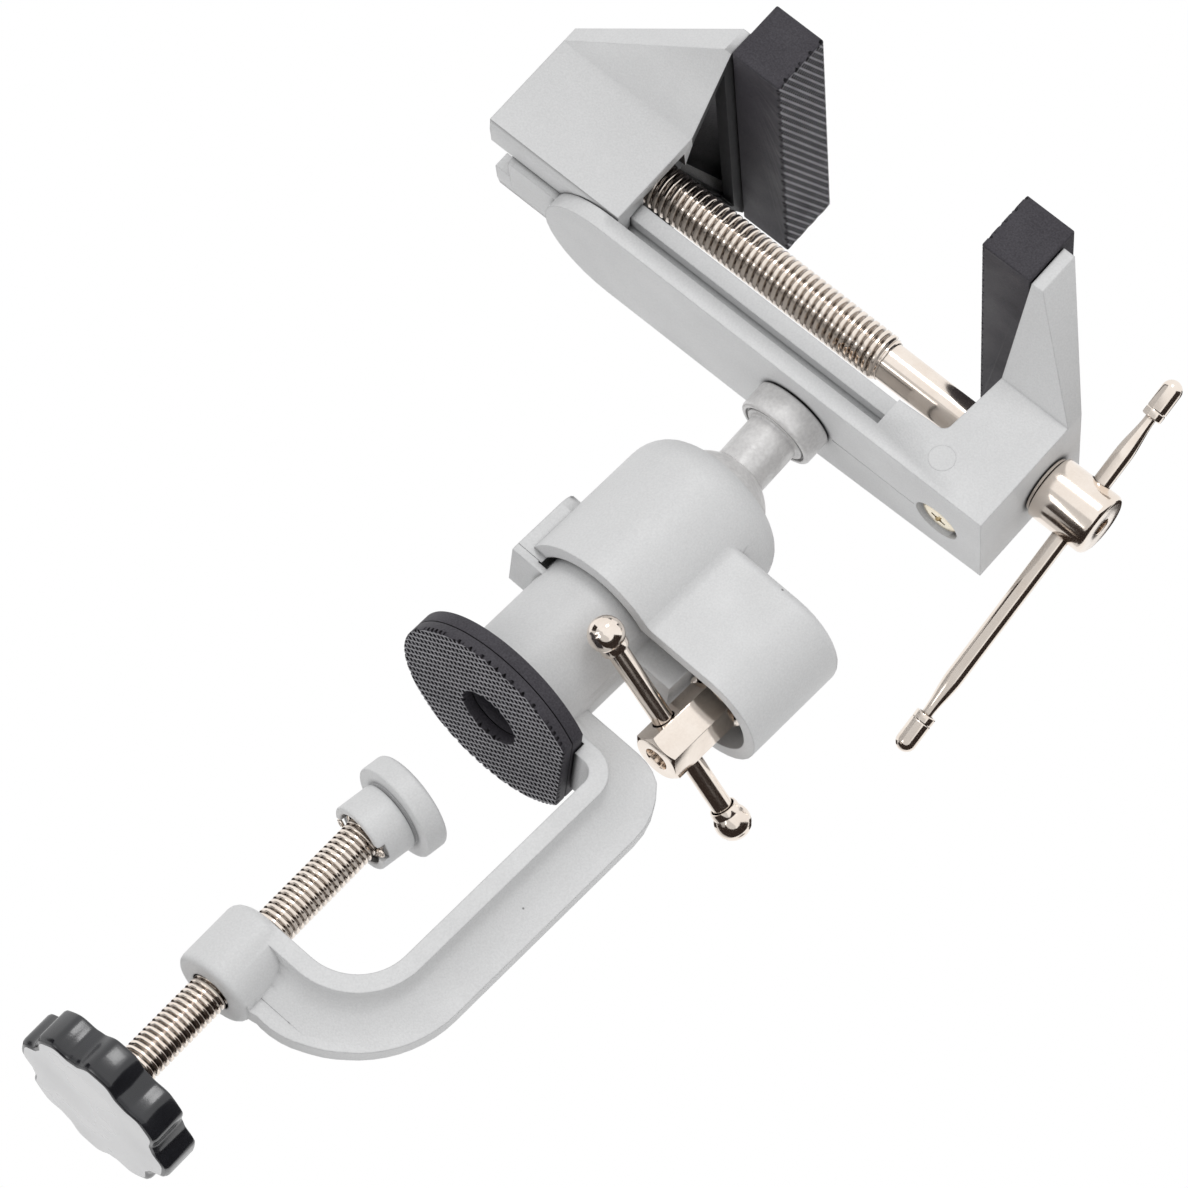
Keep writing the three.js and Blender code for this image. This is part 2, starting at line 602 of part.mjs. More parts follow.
function socketCap() {
  const socket = BALL_RADIUS + SOCKET_GAP;
  const rim = CAP_TOP_Z - BALL_Z;
  const rimRadius = Math.sqrt(socket ** 2 - rim ** 2);
  const domeTop = rimRadius + CAP_LIP;
  const rimAngle = THREE.MathUtils.radToDeg(Math.asin(rim / socket));
  const body = solid(turned([
    [0, CAP_LOW_Z],
    [CAP_RADIUS, CAP_LOW_Z],
    ...arc(domeTop, CAP_SHOULDER_Z, CAP_RADIUS - domeTop, 0, 90, ARC_STEPS,
      CAP_TOP_Z - CAP_SHOULDER_Z),
    [0, CAP_TOP_Z],
  ], ROUND_FINE));
  const lobeShape = outlineShape(lobePlan(LOBE_RADIUS, CAP_RADIUS, LOBE_VALLEY_RADIUS));
  const lobeHeight = LOBE_TOP_Z - CAP_LOW_Z;
  const lobe = solid(new THREE.ExtrudeGeometry(lobeShape, {
    depth: lobeHeight - LOBE_ROUND,
    bevelEnabled: true,
    bevelThickness: LOBE_ROUND,
    bevelSize: LOBE_ROUND,
    bevelOffset: -LOBE_ROUND,
    bevelSegments: 4,
  }).translate(0, 0, CAP_LOW_Z));
  const lowTrim = solid(box(
    [-2 * CAP_RADIUS, BOLT_X + 2 * LOBE_RADIUS],
    [-2 * CAP_RADIUS, 2 * CAP_RADIUS],
    [CAP_LOW_Z - 2 * LOBE_ROUND, CAP_LOW_Z],
  ));
  const earTop = CAP_EAR_TOP_Z - CAP_EAR_ROUND;
  const earSide = EAR_HALF - CAP_EAR_ROUND;
  const earOutline = [
    [-EAR_HALF, EAR_SEAM_Z + FIT_GAP],
    [EAR_HALF, EAR_SEAM_Z + FIT_GAP],
    ...arc(earSide, earTop, CAP_EAR_ROUND, 0, 90, 4),
    ...arc(-earSide, earTop, CAP_EAR_ROUND, 90, 180, 4),
  ];
  const ear = solid(lengthways(earOutline, EAR_X, 0));
  const bore = solid(turned([
    [0, CAP_LOW_Z - 2 * CUT_OVERRUN],
    [CAP_BORE_RADIUS, CAP_LOW_Z - 2 * CUT_OVERRUN],
    [CAP_BORE_RADIUS, CAP_BORE_TOP_Z],
    ...arc(0, BALL_Z, socket, -8, rimAngle, ARC_STEPS),
    [rimRadius, CAP_TOP_Z + CUT_OVERRUN],
    [0, CAP_TOP_Z + CUT_OVERRUN],
  ], ROUND_FINE));
  const earBore = solid(disc(CAP_BORE_RADIUS, EAR_SEAM_Z - CUT_OVERRUN, CAP_LOW_Z, ROUND_FINE));
  const hollowRadius = LOBE_RADIUS - LOBE_WALL;
  const hollowPlan = [
    [0, -hollowRadius],
    ...arc(BOLT_X, 0, hollowRadius, -90, 90, 2 * ARC_STEPS),
    [0, hollowRadius],
  ];
  const hollow = cut(
    solid(raised(hollowPlan, CAP_LOW_Z - CUT_OVERRUN, LOBE_TOP_Z - LOBE_ROOF)),
    solid(disc(LOBE_BOSS_RADIUS, LOBE_BOSS_LOW_Z, LOBE_TOP_Z, ROUND_SMALL)
      .translate(BOLT_X, 0, 0)),
  );
  const boltBore = solid(
    disc(BOLT_BORE_RADIUS, CAP_LOW_Z, BOLT_BORE_TOP_Z, ROUND_SMALL).translate(BOLT_X, 0, 0),
  );
  const shell = cut(join(body, cut(lobe, lowTrim)), hollow, boltBore);
  return cut(join(shell, ear), bore, earBore);
}

function ballSeat() {
  const cup = BALL_RADIUS + SOCKET_GAP;
  const lowZ = BARREL_TOP_Z + FIT_GAP;
  const angleAt = (radius) => -THREE.MathUtils.radToDeg(Math.acos(radius / cup));
  const edge = Math.sqrt(cup ** 2 - (BALL_Z - SEAT_EDGE_Z) ** 2);
  return solid(turned([
    [SEAT_BORE_RADIUS, lowZ],
    [SEAT_RADIUS, lowZ],
    [SEAT_RADIUS, SEAT_EDGE_Z],
    ...arc(0, BALL_Z, cup, angleAt(edge), angleAt(SEAT_BORE_RADIUS), ARC_STEPS),
  ]));
}

function ballStud() {
  const neckAngle = THREE.MathUtils.radToDeg(Math.acos(NECK_RADIUS / BALL_RADIUS));
  const collarTop = -FIT_GAP;
  const collarLow = collarTop - COLLAR_HEIGHT;
  const body = solid(turned([
    ...arc(0, -STUD_DROP, BALL_RADIUS, -90, neckAngle, 2 * ARC_STEPS),
    [NECK_RADIUS, collarLow],
    [COLLAR_RADIUS - COLLAR_CHAMFER, collarLow],
    [COLLAR_RADIUS, collarLow + COLLAR_CHAMFER],
    [COLLAR_RADIUS, collarTop],
    [0, collarTop],
  ]));
  const bore = solid(disc(
    STUD_BORE_RADIUS,
    collarTop - STUD_BORE_DEPTH,
    collarTop + CUT_OVERRUN,
    ROUND_SMALL,
  ));
  return cut(body, bore).translate(STUD_X, 0, 0);
}

function studScrew() {
  return solid(turned([
    [0, STUD_SCREW_TIP_Z],
    [STUD_SCREW_RADIUS, STUD_SCREW_TIP_Z],
    [STUD_SCREW_RADIUS, STUD_SCREW_HEAD_LOW_Z],
    [STUD_SCREW_HEAD_RADIUS, STUD_SCREW_HEAD_LOW_Z],
    [STUD_SCREW_HEAD_RADIUS, STUD_SCREW_HEAD_TOP_Z],
    [0, STUD_SCREW_HEAD_TOP_Z],
  ], ROUND_SMALL).translate(STUD_X, 0, 0));
}

// Far side of the bed, which narrows towards the handle end.
function farSide(x) {
  const along = 1 - x / BLOCK_TAPER_X;
  return BED_HALF - (BED_HALF - BLOCK_FAR_HALF) * along;
}

// Line across the bed from its near side to its far side.
const acrossBed = (x, z) => [
  new THREE.Vector3(x, -BED_HALF, z),
  new THREE.Vector3(x, farSide(x), z),
];

function viseBed() {
  const foot = solid(raised(boatOutline(BED_FOOT_ROUND_X, 0, BED_HALF), 0, BED_FOOT_TOP_Z));
  const keel = solid(box(
    [KEEL_END_X, BED_FULL_X + CUT_OVERRUN],
    [-KEEL_HALF, KEEL_HALF],
    [KEEL_LOW_Z, RAIL_TOP_Z],
  ));
  const rail = solid(box(
    [RAIL_END_X, BED_FULL_X + CUT_OVERRUN],
    [-RAIL_HALF, RAIL_HALF],
    [RAIL_LOW_Z, RAIL_TOP_Z],
  ));
  const notchZ = NOTCH_FLOOR_Z + NOTCH_ROUND;
  const notchX = BLOCK_INNER_LOW_X - NOTCH_ROUND;
  const block = solid(sideways([
    [BED_FULL_X, 0],
    [0, 0],
    [0, BLOCK_TOP_Z],
    [BLOCK_INNER_TOP_X, BLOCK_TOP_Z],
    ...arc(notchX, notchZ, NOTCH_ROUND, 0, -90, 4),
    [BED_FULL_X, BED_FULL_TOP_Z],
  ], BED_HALF));
  const plateX = FIXED_PAD_FACE_X + PAD_THICK + FIT_GAP;
  const flare = wedge(
    acrossBed(BLOCK_INNER_TOP_X, BLOCK_TOP_Z - FIT_GAP),
    acrossBed(0, BLOCK_TOP_Z - FIT_GAP),
    acrossBed(0, FIXED_BACK_Z),
    plateCorners(plateX, plateX + FIXED_PLATE_THICK, PLATE_HALF, PLATE_LOW_Z, FIXED_PLATE_TOP_Z),
  );
  const tongue = solid(box(
    [plateX - TONGUE_DEPTH, plateX + FIXED_PLATE_THICK],
    [-TONGUE_HALF, TONGUE_HALF],
    [TONGUE_LOW_Z, TONGUE_TOP_Z],
  ));
  const channel = solid(box(
    [RAIL_CHANNEL_START_X, RAIL_CHANNEL_END_X],
    [-RAIL_CHANNEL_HALF, RAIL_CHANNEL_HALF],
    [RAIL_CHANNEL_Z, RAIL_TOP_Z + CUT_OVERRUN],
  ));
  const shaftBore = solid(alongX(
    disc(SHANK_BORE_RADIUS, BLOCK_INNER_LOW_X - CUT_OVERRUN, CUT_OVERRUN, ROUND_SMALL),
  ).translate(0, 0, SCREW_Z));
  const retainerBore = solid(turned([
    [0, -CUT_OVERRUN],
    [RETAINER_RECESS_RADIUS, -CUT_OVERRUN],
    [RETAINER_RECESS_RADIUS, RETAINER_RECESS_DEPTH],
    [RETAINER_BORE_RADIUS, RETAINER_RECESS_DEPTH],
    [RETAINER_BORE_RADIUS, SCREW_Z],
    [0, SCREW_Z],
  ], ROUND_SMALL).translate(GROOVE_X, 0, 0));
  const studBore = solid(turned([
    [0, -CUT_OVERRUN],
    [STUD_HOLE_RADIUS, -CUT_OVERRUN],
    [STUD_HOLE_RADIUS, STUD_SINK_Z],
    [STUD_SINK_RADIUS, STUD_SINK_Z],
    [STUD_SINK_RADIUS, RAIL_TOP_Z + CUT_OVERRUN],
    [0, RAIL_TOP_Z + CUT_OVERRUN],
  ], ROUND_SMALL).translate(STUD_X, 0, 0));
  const taper = solid(raised([
    [BLOCK_TAPER_X, BED_HALF],
    [CUT_OVERRUN, farSide(CUT_OVERRUN)],
    [CUT_OVERRUN, BED_HALF + CUT_OVERRUN],
    [BLOCK_TAPER_X, BED_HALF + CUT_OVERRUN],
  ], -CUT_OVERRUN, BLOCK_TOP_Z + CUT_OVERRUN));
  const whole = join(cut(join(foot, block), taper), keel, rail, flare, tongue);
  return cut(whole, channel, shaftBore, retainerBore, studBore);
}

function movingJaw() {
  const body = solid(lengthways([
    [-JAW_FOOT_HALF, JAW_LOW_Z],
    [JAW_FOOT_HALF, JAW_LOW_Z],
    [BED_HALF, JAW_SIDE_LOW_Z],
    [BED_HALF, JAW_TOP_Z],
    [-BED_HALF, JAW_TOP_Z],
    [-BED_HALF, JAW_SIDE_LOW_Z],
  ], JAW_LEFT_X, JAW_RIGHT_X));
  const backX = MOVING_PLATE_X - MOVING_PLATE_THICK;
  const flare = wedge(
    plateCorners(JAW_LEFT_X, JAW_RIGHT_X, BED_HALF, JAW_TOP_Z - FIT_GAP, JAW_TOP_Z),
    plateCorners(JAW_LEFT_X, JAW_LEFT_X + BACK_LINE, BED_HALF, JAW_TOP_Z, MOVING_BACK_Z),
    plateCorners(backX, MOVING_PLATE_X, PLATE_HALF, PLATE_LOW_Z, MOVING_PLATE_TOP_Z),
  );
  const inner = BED_HALF - JAW_WALL;
  const gussetX = backX - share(JAW_WALL, 0.5);
  const gussetHalf = PLATE_HALF - GUSSET_WALL;
  const pocket = wedge(
    plateCorners(JAW_RIGHT_X - GUSSET_LENGTH, gussetX, GUSSET_ROOT_HALF, JAW_HOLLOW_TOP_Z,
      JAW_HOLLOW_TOP_Z + FIT_GAP),
    plateCorners(gussetX - FIT_GAP, gussetX, gussetHalf, PLATE_LOW_Z, GUSSET_ROOF_Z),
  );
  const rightX = MOVING_PLATE_X + CUT_OVERRUN;
  const mouth = wedge(
    plateCorners(gussetX - FIT_GAP, rightX, GUSSET_ROOT_HALF, JAW_HOLLOW_TOP_Z,
      JAW_HOLLOW_TOP_Z + FIT_GAP),
    plateCorners(gussetX - FIT_GAP, rightX, GUSSET_MOUTH_HALF, GUSSET_MOUTH_Z - FIT_GAP,
      GUSSET_MOUTH_Z),
  );
  const hollow = solid(box(
    [JAW_LEFT_X + JAW_WALL, JAW_RIGHT_X + CUT_OVERRUN],
    [-inner, inner],
    [JAW_RAIL_TOP_Z, JAW_HOLLOW_TOP_Z + FIT_GAP],
  ));
  const allX = [JAW_LEFT_X - CUT_OVERRUN, JAW_RIGHT_X + CUT_OVERRUN];
  const railHalf = RAIL_HALF + FIT_GAP;
  const keelHalf = KEEL_HALF + FIT_GAP;
  const railRoom = solid(box(allX, [-railHalf, railHalf], [JAW_TONGUE_TOP_Z, JAW_RAIL_TOP_Z]));
  const keelRoom = solid(
    box(allX, [-keelHalf, keelHalf], [JAW_LOW_Z - CUT_OVERRUN, JAW_RAIL_TOP_Z]),
  );
  const nutWidth = [-(inner + share(JAW_WALL, 0.5)), inner + share(JAW_WALL, 0.5)];
  const nutRightX = JAW_RIGHT_X - JAW_NUT_SETBACK;
  const nutLeftX = nutRightX - JAW_NUT_LENGTH;
  const nut = join(
    solid(box([nutLeftX, nutRightX], nutWidth, [JAW_RAIL_TOP_Z, SCREW_Z])),
    solid(alongX(disc(JAW_NUT_RADIUS, nutLeftX, nutRightX)).translate(0, 0, SCREW_Z)),
  );
  const tongue = solid(box(
    [backX, MOVING_PLATE_X + TONGUE_DEPTH],
    [-TONGUE_HALF, TONGUE_HALF],
    [TONGUE_LOW_Z, TONGUE_TOP_Z],
  ));
  const shell = cut(join(body, flare), pocket, mouth, hollow);
  const nutBore = solid(alongX(
    disc(NUT_BORE_RADIUS, JAW_LEFT_X - CUT_OVERRUN, JAW_RIGHT_X + CUT_OVERRUN, ROUND_SMALL),
  ).translate(0, 0, SCREW_Z));
  return cut(join(shell, nut, tongue), railRoom, keelRoom, nutBore);
}

// Jaw pad with a blind slot for the casting's tongue; side is +1 when the slot faces +X.
function jawPad(faceX, side) {
  const backX = faceX + side * PAD_THICK;
  const slotX = backX - side * (TONGUE_DEPTH + FIT_GAP);
  const spanX = [Math.min(faceX, backX), Math.max(faceX, backX)];
  const openX = backX + side * CUT_OVERRUN;
  const cutX = [Math.min(slotX, openX), Math.max(slotX, openX)];
  const slotHalf = TONGUE_HALF + FIT_GAP;
  return cut(
    solid(box(spanX, [-PAD_LENGTH_HALF, PAD_LENGTH_HALF], [PAD_LOW_Z, PAD_HIGH_Z])),
    solid(box(cutX, [-slotHalf, slotHalf], [TONGUE_LOW_Z - FIT_GAP, TONGUE_TOP_Z + FIT_GAP])),
  );
}

// Frame of the tommy bar: its length along Z, centred on the screw's axis.
function tommyFrame() {
  return new THREE.Matrix4()
    .makeTranslation(TOMMY_X, 0, SCREW_Z)
    .multiply(new THREE.Matrix4().makeRotationX(THREE.MathUtils.degToRad(TOMMY_TILT)));
}

function leadScrew() {
  const body = solid(alongX(turned([
    [0, THREAD_LEFT_X],
    [THREAD_RADIUS - THREAD_CHAMFER, THREAD_LEFT_X],
    [THREAD_RADIUS, THREAD_LEFT_X + THREAD_CHAMFER],
    [THREAD_RADIUS, THREAD_RIGHT_X - THREAD_CHAMFER],
    [SHANK_RADIUS, THREAD_RIGHT_X],
    [SHANK_RADIUS, GROOVE_X - GROOVE_HALF],
    [GROOVE_RADIUS, GROOVE_X - GROOVE_HALF],
    [GROOVE_RADIUS, GROOVE_X + GROOVE_HALF],
    [SHANK_RADIUS, GROOVE_X + GROOVE_HALF],
    [SHANK_RADIUS, HUB_LEFT_X],
    [HUB_RADIUS, HUB_LEFT_X],
    ...arc(HUB_RADIUS - HUB_ROUND, HUB_RIGHT_X - HUB_ROUND, HUB_ROUND, 0, 90, 4),
    [HUB_END_HOLE_RADIUS, HUB_RIGHT_X],
    [HUB_END_HOLE_RADIUS, HUB_RIGHT_X - HUB_END_HOLE_DEPTH],
    [0, HUB_RIGHT_X - HUB_END_HOLE_DEPTH],
  ])).translate(0, 0, SCREW_Z));
  const hole = solid(
    disc(TOMMY_HOLE_RADIUS, -HUB_RADIUS - CUT_OVERRUN, HUB_RADIUS + CUT_OVERRUN, ROUND_SMALL)
      .applyMatrix4(tommyFrame()),
  );
  return cut(body, hole);
}

function tommyBar() {
  const end = TOMMY_HALF - TOMMY_CAP_LENGTH + TOMMY_CAP_BORE_DEPTH - FIT_GAP;
  const neck = TOMMY_HALF - TOMMY_CAP_LENGTH;
  return solid(turned([
    [0, -end],
    [TOMMY_NECK_RADIUS, -end],
    [TOMMY_NECK_RADIUS, -neck],
    [TOMMY_RADIUS, -neck + TOMMY_NECK_LENGTH],
    [TOMMY_RADIUS, neck - TOMMY_NECK_LENGTH],
    [TOMMY_NECK_RADIUS, neck],
    [TOMMY_NECK_RADIUS, end],
    [0, end],
  ], ROUND_SMALL).translate(0, 0, TOMMY_SLIP).applyMatrix4(tommyFrame()));
}

// Domed cap on one end of the tommy bar; end is +1 for the upper one.
function tommyCap(end) {
  const rimZ = TOMMY_HALF - TOMMY_CAP_LENGTH;
  const floorZ = rimZ + TOMMY_CAP_BORE_DEPTH;
  const geometry = turned([
    [0, floorZ],
    [TOMMY_CAP_BORE_RADIUS, floorZ],
    [TOMMY_CAP_BORE_RADIUS, rimZ],
    [TOMMY_CAP_RADIUS, rimZ],
    ...arc(0, TOMMY_HALF - TOMMY_CAP_RADIUS, TOMMY_CAP_RADIUS, 0, 90, 5),
  ], ROUND_SMALL);
  if (end < 0) geometry.rotateX(Math.PI);
  return solid(geometry.translate(0, 0, TOMMY_SLIP).applyMatrix4(tommyFrame()));
}

function retainingScrew() {
  return solid(turned([
    [0, RETAINER_HEAD_LOW_Z],
    [RETAINER_HEAD_RADIUS, RETAINER_HEAD_LOW_Z],
    [RETAINER_HEAD_RADIUS, RETAINER_HEAD_TOP_Z],
    [RETAINER_SHANK_RADIUS, RETAINER_HEAD_TOP_Z],
    [RETAINER_SHANK_RADIUS, RETAINER_TIP_Z],
    [0, RETAINER_TIP_Z],
  ], ROUND_SMALL).translate(GROOVE_X, 0, 0));
}

function lockBolt() {
  const corner = HEX_FLATS / Math.sqrt(3);
  const turn = THREE.MathUtils.degToRad(LOCK_BAR_ANGLE);
  const hexPlan = arc(0, 0, corner, LOCK_BAR_ANGLE + 30, LOCK_BAR_ANGLE + 330, 5);
  const cone = solid(turned([
    [0, HEX_LOW_Z],
    [corner - HEX_CHAMFER, HEX_LOW_Z],
    [corner, HEX_LOW_Z + share(HEX_CHAMFER, 0.6)],
    [corner, HEX_TOP_Z - share(HEX_CHAMFER, 0.6)],
    [corner - HEX_CHAMFER, HEX_TOP_Z],
    [0, HEX_TOP_Z],
  ]));
  const head = solid(raised(hexPlan, HEX_LOW_Z, HEX_TOP_Z)).intersect(cone);
  const shank = solid(disc(BOLT_RADIUS, HEX_TOP_Z - CUT_OVERRUN, BOLT_TOP_Z, ROUND_SMALL));
  const barHole = disc(LOCK_BAR_RADIUS + FIT_GAP, -HEX_FLATS, HEX_FLATS, ROUND_SMALL);
  const barTool = solid(alongX(barHole).rotateZ(turn).translate(0, 0, LOCK_BAR_Z));
  const endBore = solid(disc(
    HEX_END_BORE_RADIUS,
    HEX_LOW_Z - CUT_OVERRUN,
    HEX_LOW_Z + HEX_END_BORE_DEPTH,
    ROUND_SMALL,
  ));
  return cut(join(head, shank), barTool, endBore).translate(BOLT_X, 0, 0);
}

// Places a geometry that runs along X, centred on the bolt, onto the lock bar's line.
function onLockBar(geometry) {
  const turn = THREE.MathUtils.degToRad(LOCK_BAR_ANGLE);
  return geometry.rotateZ(turn).translate(BOLT_X, 0, LOCK_BAR_Z);
}

function lockBar() {
  const near = -(LOCK_BAR_NEAR - LOCK_BALL_RADIUS + LOCK_BALL_BORE_DEPTH - FIT_GAP);
  const far = LOCK_BAR_FAR - LOCK_BALL_RADIUS + LOCK_BALL_BORE_DEPTH - FIT_GAP;
  return solid(onLockBar(alongX(disc(LOCK_BAR_RADIUS, near, far, ROUND_SMALL))));
}

// Ball on one end of the lock bar; side is -1 for the near one.
function lockBall(centre, side) {
  const sphere = new THREE.SphereGeometry(LOCK_BALL_RADIUS, ROUND_SMALL, ROUND_SMALL / 2);
  const low = -LOCK_BALL_RADIUS - CUT_OVERRUN;
  const bore = disc(
    LOCK_BAR_RADIUS + FIT_GAP,
    low,
    -LOCK_BALL_RADIUS + LOCK_BALL_BORE_DEPTH,
    ROUND_SMALL,
  );
  const ball = cut(solid(alongX(sphere)), solid(alongX(bore)));
  const facing = side < 0 ? ball.rotate([0, 0, 180]) : ball;
  return facing
    .translate(centre, 0, 0)
    .rotate([0, 0, LOCK_BAR_ANGLE])
    .translate(BOLT_X, 0, LOCK_BAR_Z);
}

// Foot hung on the screw's ring, leaning as it hangs when nothing is clamped.
function pressureFoot() {
  const boreTop = FOOT_TOP_Z - FOOT_ROOF;
  const neckRadius = FOOT_BODY_RADIUS - FOOT_NECK_DEPTH;
  const pivotZ = (RING_LOW_Z + RING_TOP_Z) / 2;
  return solid(turned([
    [0, FOOT_TOP_Z],
    ...arc(FOOT_FLANGE_RADIUS - FOOT_ROUND, FOOT_TOP_Z - FOOT_ROUND, FOOT_ROUND, 90, 0, 3),
    [FOOT_FLANGE_RADIUS, FOOT_FLANGE_Z],
    [neckRadius, FOOT_FLANGE_Z],
    [neckRadius, FOOT_FLANGE_Z - FOOT_ROUND],
    [FOOT_BODY_RADIUS, FOOT_FLANGE_Z - FOOT_ROUND],
    [FOOT_BODY_RADIUS, FOOT_LOW_Z],
    [FOOT_BORE_RADIUS, FOOT_LOW_Z],
    [FOOT_BORE_RADIUS, boreTop],
    [0, boreTop],
  ]).translate(0, 0, -pivotZ)
    .rotateY(THREE.MathUtils.degToRad(FOOT_TILT))
    .translate(0, 0, pivotZ));
}

function clampScrew() {
  const endZ = KNOB_TOP_Z - KNOB_THICK + KNOB_FACE_WALL;
  return solid(turned([
    [0, endZ],
    [CLAMP_SCREW_RADIUS, endZ],
    [CLAMP_SCREW_RADIUS, CLAMP_TIP_Z - CLAMP_TIP_LENGTH],
    [CLAMP_TIP_RADIUS, CLAMP_TIP_Z - CLAMP_TIP_LENGTH],
    [CLAMP_TIP_RADIUS, CLAMP_TIP_Z],
    [0, CLAMP_TIP_Z],
  ], ROUND_SMALL));
}

// Rounded-lobe outline of the knob at a given inset.
function knobOutline() {
  const middle = (KNOB_LOBE_RADIUS + KNOB_VALLEY_RADIUS) / 2;
  const swing = (KNOB_LOBE_RADIUS - KNOB_VALLEY_RADIUS) / 2;
  const count = KNOB_LOBES * KNOB_LOBE_POINTS;
  const points = [];
  for (let i = 0; i < count; i += 1) {
    const angle = (2 * Math.PI * i) / count;
    const radius = middle + swing * Math.cos(KNOB_LOBES * angle);
    points.push([radius * Math.cos(angle), radius * Math.sin(angle)]);
  }
  return points;
}

function clampKnob() {
  const body = solid(new THREE.ExtrudeGeometry(outlineShape(knobOutline()), {
    depth: KNOB_THICK - 2 * KNOB_ROUND,
    bevelEnabled: true,
    bevelThickness: KNOB_ROUND,
    bevelSize: KNOB_ROUND,
    bevelOffset: -KNOB_ROUND,
    bevelSegments: 2,
  }).translate(0, 0, KNOB_TOP_Z - KNOB_THICK + KNOB_ROUND));
  const recess = solid(ring(
    KNOB_HUB_RADIUS,
    KNOB_RECESS_RADIUS,
    KNOB_TOP_Z - KNOB_RECESS_DEPTH,
    KNOB_TOP_Z + CUT_OVERRUN,
  ));
  const bore = solid(disc(
    CLAMP_SCREW_RADIUS + FIT_GAP,
    KNOB_TOP_Z - KNOB_THICK + KNOB_FACE_WALL - FIT_GAP,
    KNOB_TOP_Z + CUT_OVERRUN,
    ROUND_SMALL,
  ));
  return cut(body, recess, bore);
}

// Head frame in the base frame: it leans about the ball's centre and turns about the stud.
function headFrame() {
  const lean = THREE.MathUtils.degToRad(HEAD_LEAN);
  const azimuth = THREE.MathUtils.degToRad(HEAD_LEAN_AZIMUTH);
  const spin = THREE.MathUtils.degToRad(HEAD_SPIN);
  return new THREE.Matrix4()
    .makeTranslation(0, 0, BALL_Z)
    .multiply(new THREE.Matrix4().makeRotationZ(azimuth))
    .multiply(new THREE.Matrix4().makeRotationY(lean))
    .multiply(new THREE.Matrix4().makeRotationZ(spin))
    .multiply(new THREE.Matrix4().makeTranslation(-STUD_X, 0, STUD_DROP));
}

function meshOf(name, body, finish) {
  const { vertProperties, triVerts } = body.getMesh();
  const geometry = new THREE.BufferGeometry();
  geometry.setAttribute('position', new THREE.BufferAttribute(vertProperties, 3));
  geometry.setIndex(new THREE.BufferAttribute(triVerts, 1));
  const flat = geometry.toNonIndexed();
  flat.computeVertexNormals();
  const mesh = new THREE.Mesh(flat, new THREE.MeshStandardMaterial(finish));
  mesh.name = name;
  return mesh;
}

const group = new THREE.Group();
const base = (name, body, finish) => group.add(meshOf(name, body, finish));
const head = new THREE.Group();
headFrame().decompose(head.position, head.quaternion, head.scale);
const onHead = (name, body, finish) => head.add(meshOf(name, body, finish));

base('clamp_frame', clampFrame(), CAST_PAINT);
base('table_pad', padLayer(PAD_RADIUS, 0, PAD_SEAM_Z - PAD_SEAM_GAP / 2), RUBBER);
base('pad_backing', padLayer(PAD_RADIUS, PAD_SEAM_Z + PAD_SEAM_GAP / 2, PAD_TOP_Z), RUBBER);
base('socket_cap', socketCap(), CAST_PAINT);
base('ball_seat', ballSeat(), SEAT_NYLON);
base('lock_bolt', lockBolt(), NICKEL);
base('lock_washer', solid(
  ring(BOLT_BORE_RADIUS, LOCK_WASHER_RADIUS, LOCK_WASHER_LOW_Z, LOCK_WASHER_TOP_Z, ROUND_SMALL)
    .translate(BOLT_X, 0, 0),
), NICKEL);
base('lock_bar', lockBar(), NICKEL);
base('lock_bar_ball_near', lockBall(-LOCK_BAR_NEAR, -1), NICKEL);
base('lock_bar_ball_far', lockBall(LOCK_BAR_FAR, 1), NICKEL);
base('pressure_foot', onSpindle(pressureFoot()), CAST_PAINT);
base('foot_retaining_ring', onSpindle(solid(
  ring(RING_INNER_RADIUS, RING_OUTER_RADIUS, RING_LOW_Z, RING_TOP_Z, ROUND_SMALL),
)), NICKEL);
base('clamp_screw', onSpindle(clampScrew()), NICKEL);
base('clamp_knob', onSpindle(clampKnob()), KNOB_PLASTIC);

onHead('ball_stud', ballStud(), RAW_CAST);
onHead('stud_screw', studScrew(), NICKEL);
onHead('vise_bed', viseBed(), CAST_PAINT);
onHead('fixed_pad', jawPad(FIXED_PAD_FACE_X, 1), RUBBER);
onHead('moving_jaw', movingJaw(), CAST_PAINT);
onHead('moving_pad', jawPad(MOVING_PAD_FACE_X, -1), RUBBER);
onHead('lead_screw', leadScrew(), NICKEL);
onHead('thrust_washer', solid(alongX(
  ring(SHANK_BORE_RADIUS, THRUST_RADIUS, THRUST_LEFT_X, THRUST_RIGHT_X),
).translate(0, 0, SCREW_Z)), NICKEL);
onHead('retaining_screw', retainingScrew(), BRASS);
onHead('tommy_bar', tommyBar(), NICKEL);
onHead('tommy_cap_upper', tommyCap(1), NICKEL);
onHead('tommy_cap_lower', tommyCap(-1), NICKEL);
group.add(head);

export default group;
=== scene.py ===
"""Swivel bench vise: finishes, detailed pieces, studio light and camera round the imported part."""

import json
import logging
from dataclasses import dataclass, replace
from enum import Enum
from math import acos, asin, ceil, cos, pi, radians, sin, sqrt, tan
from typing import Dict, List, Sequence, Tuple

import bmesh
import bpy
from mathutils import Matrix, Vector

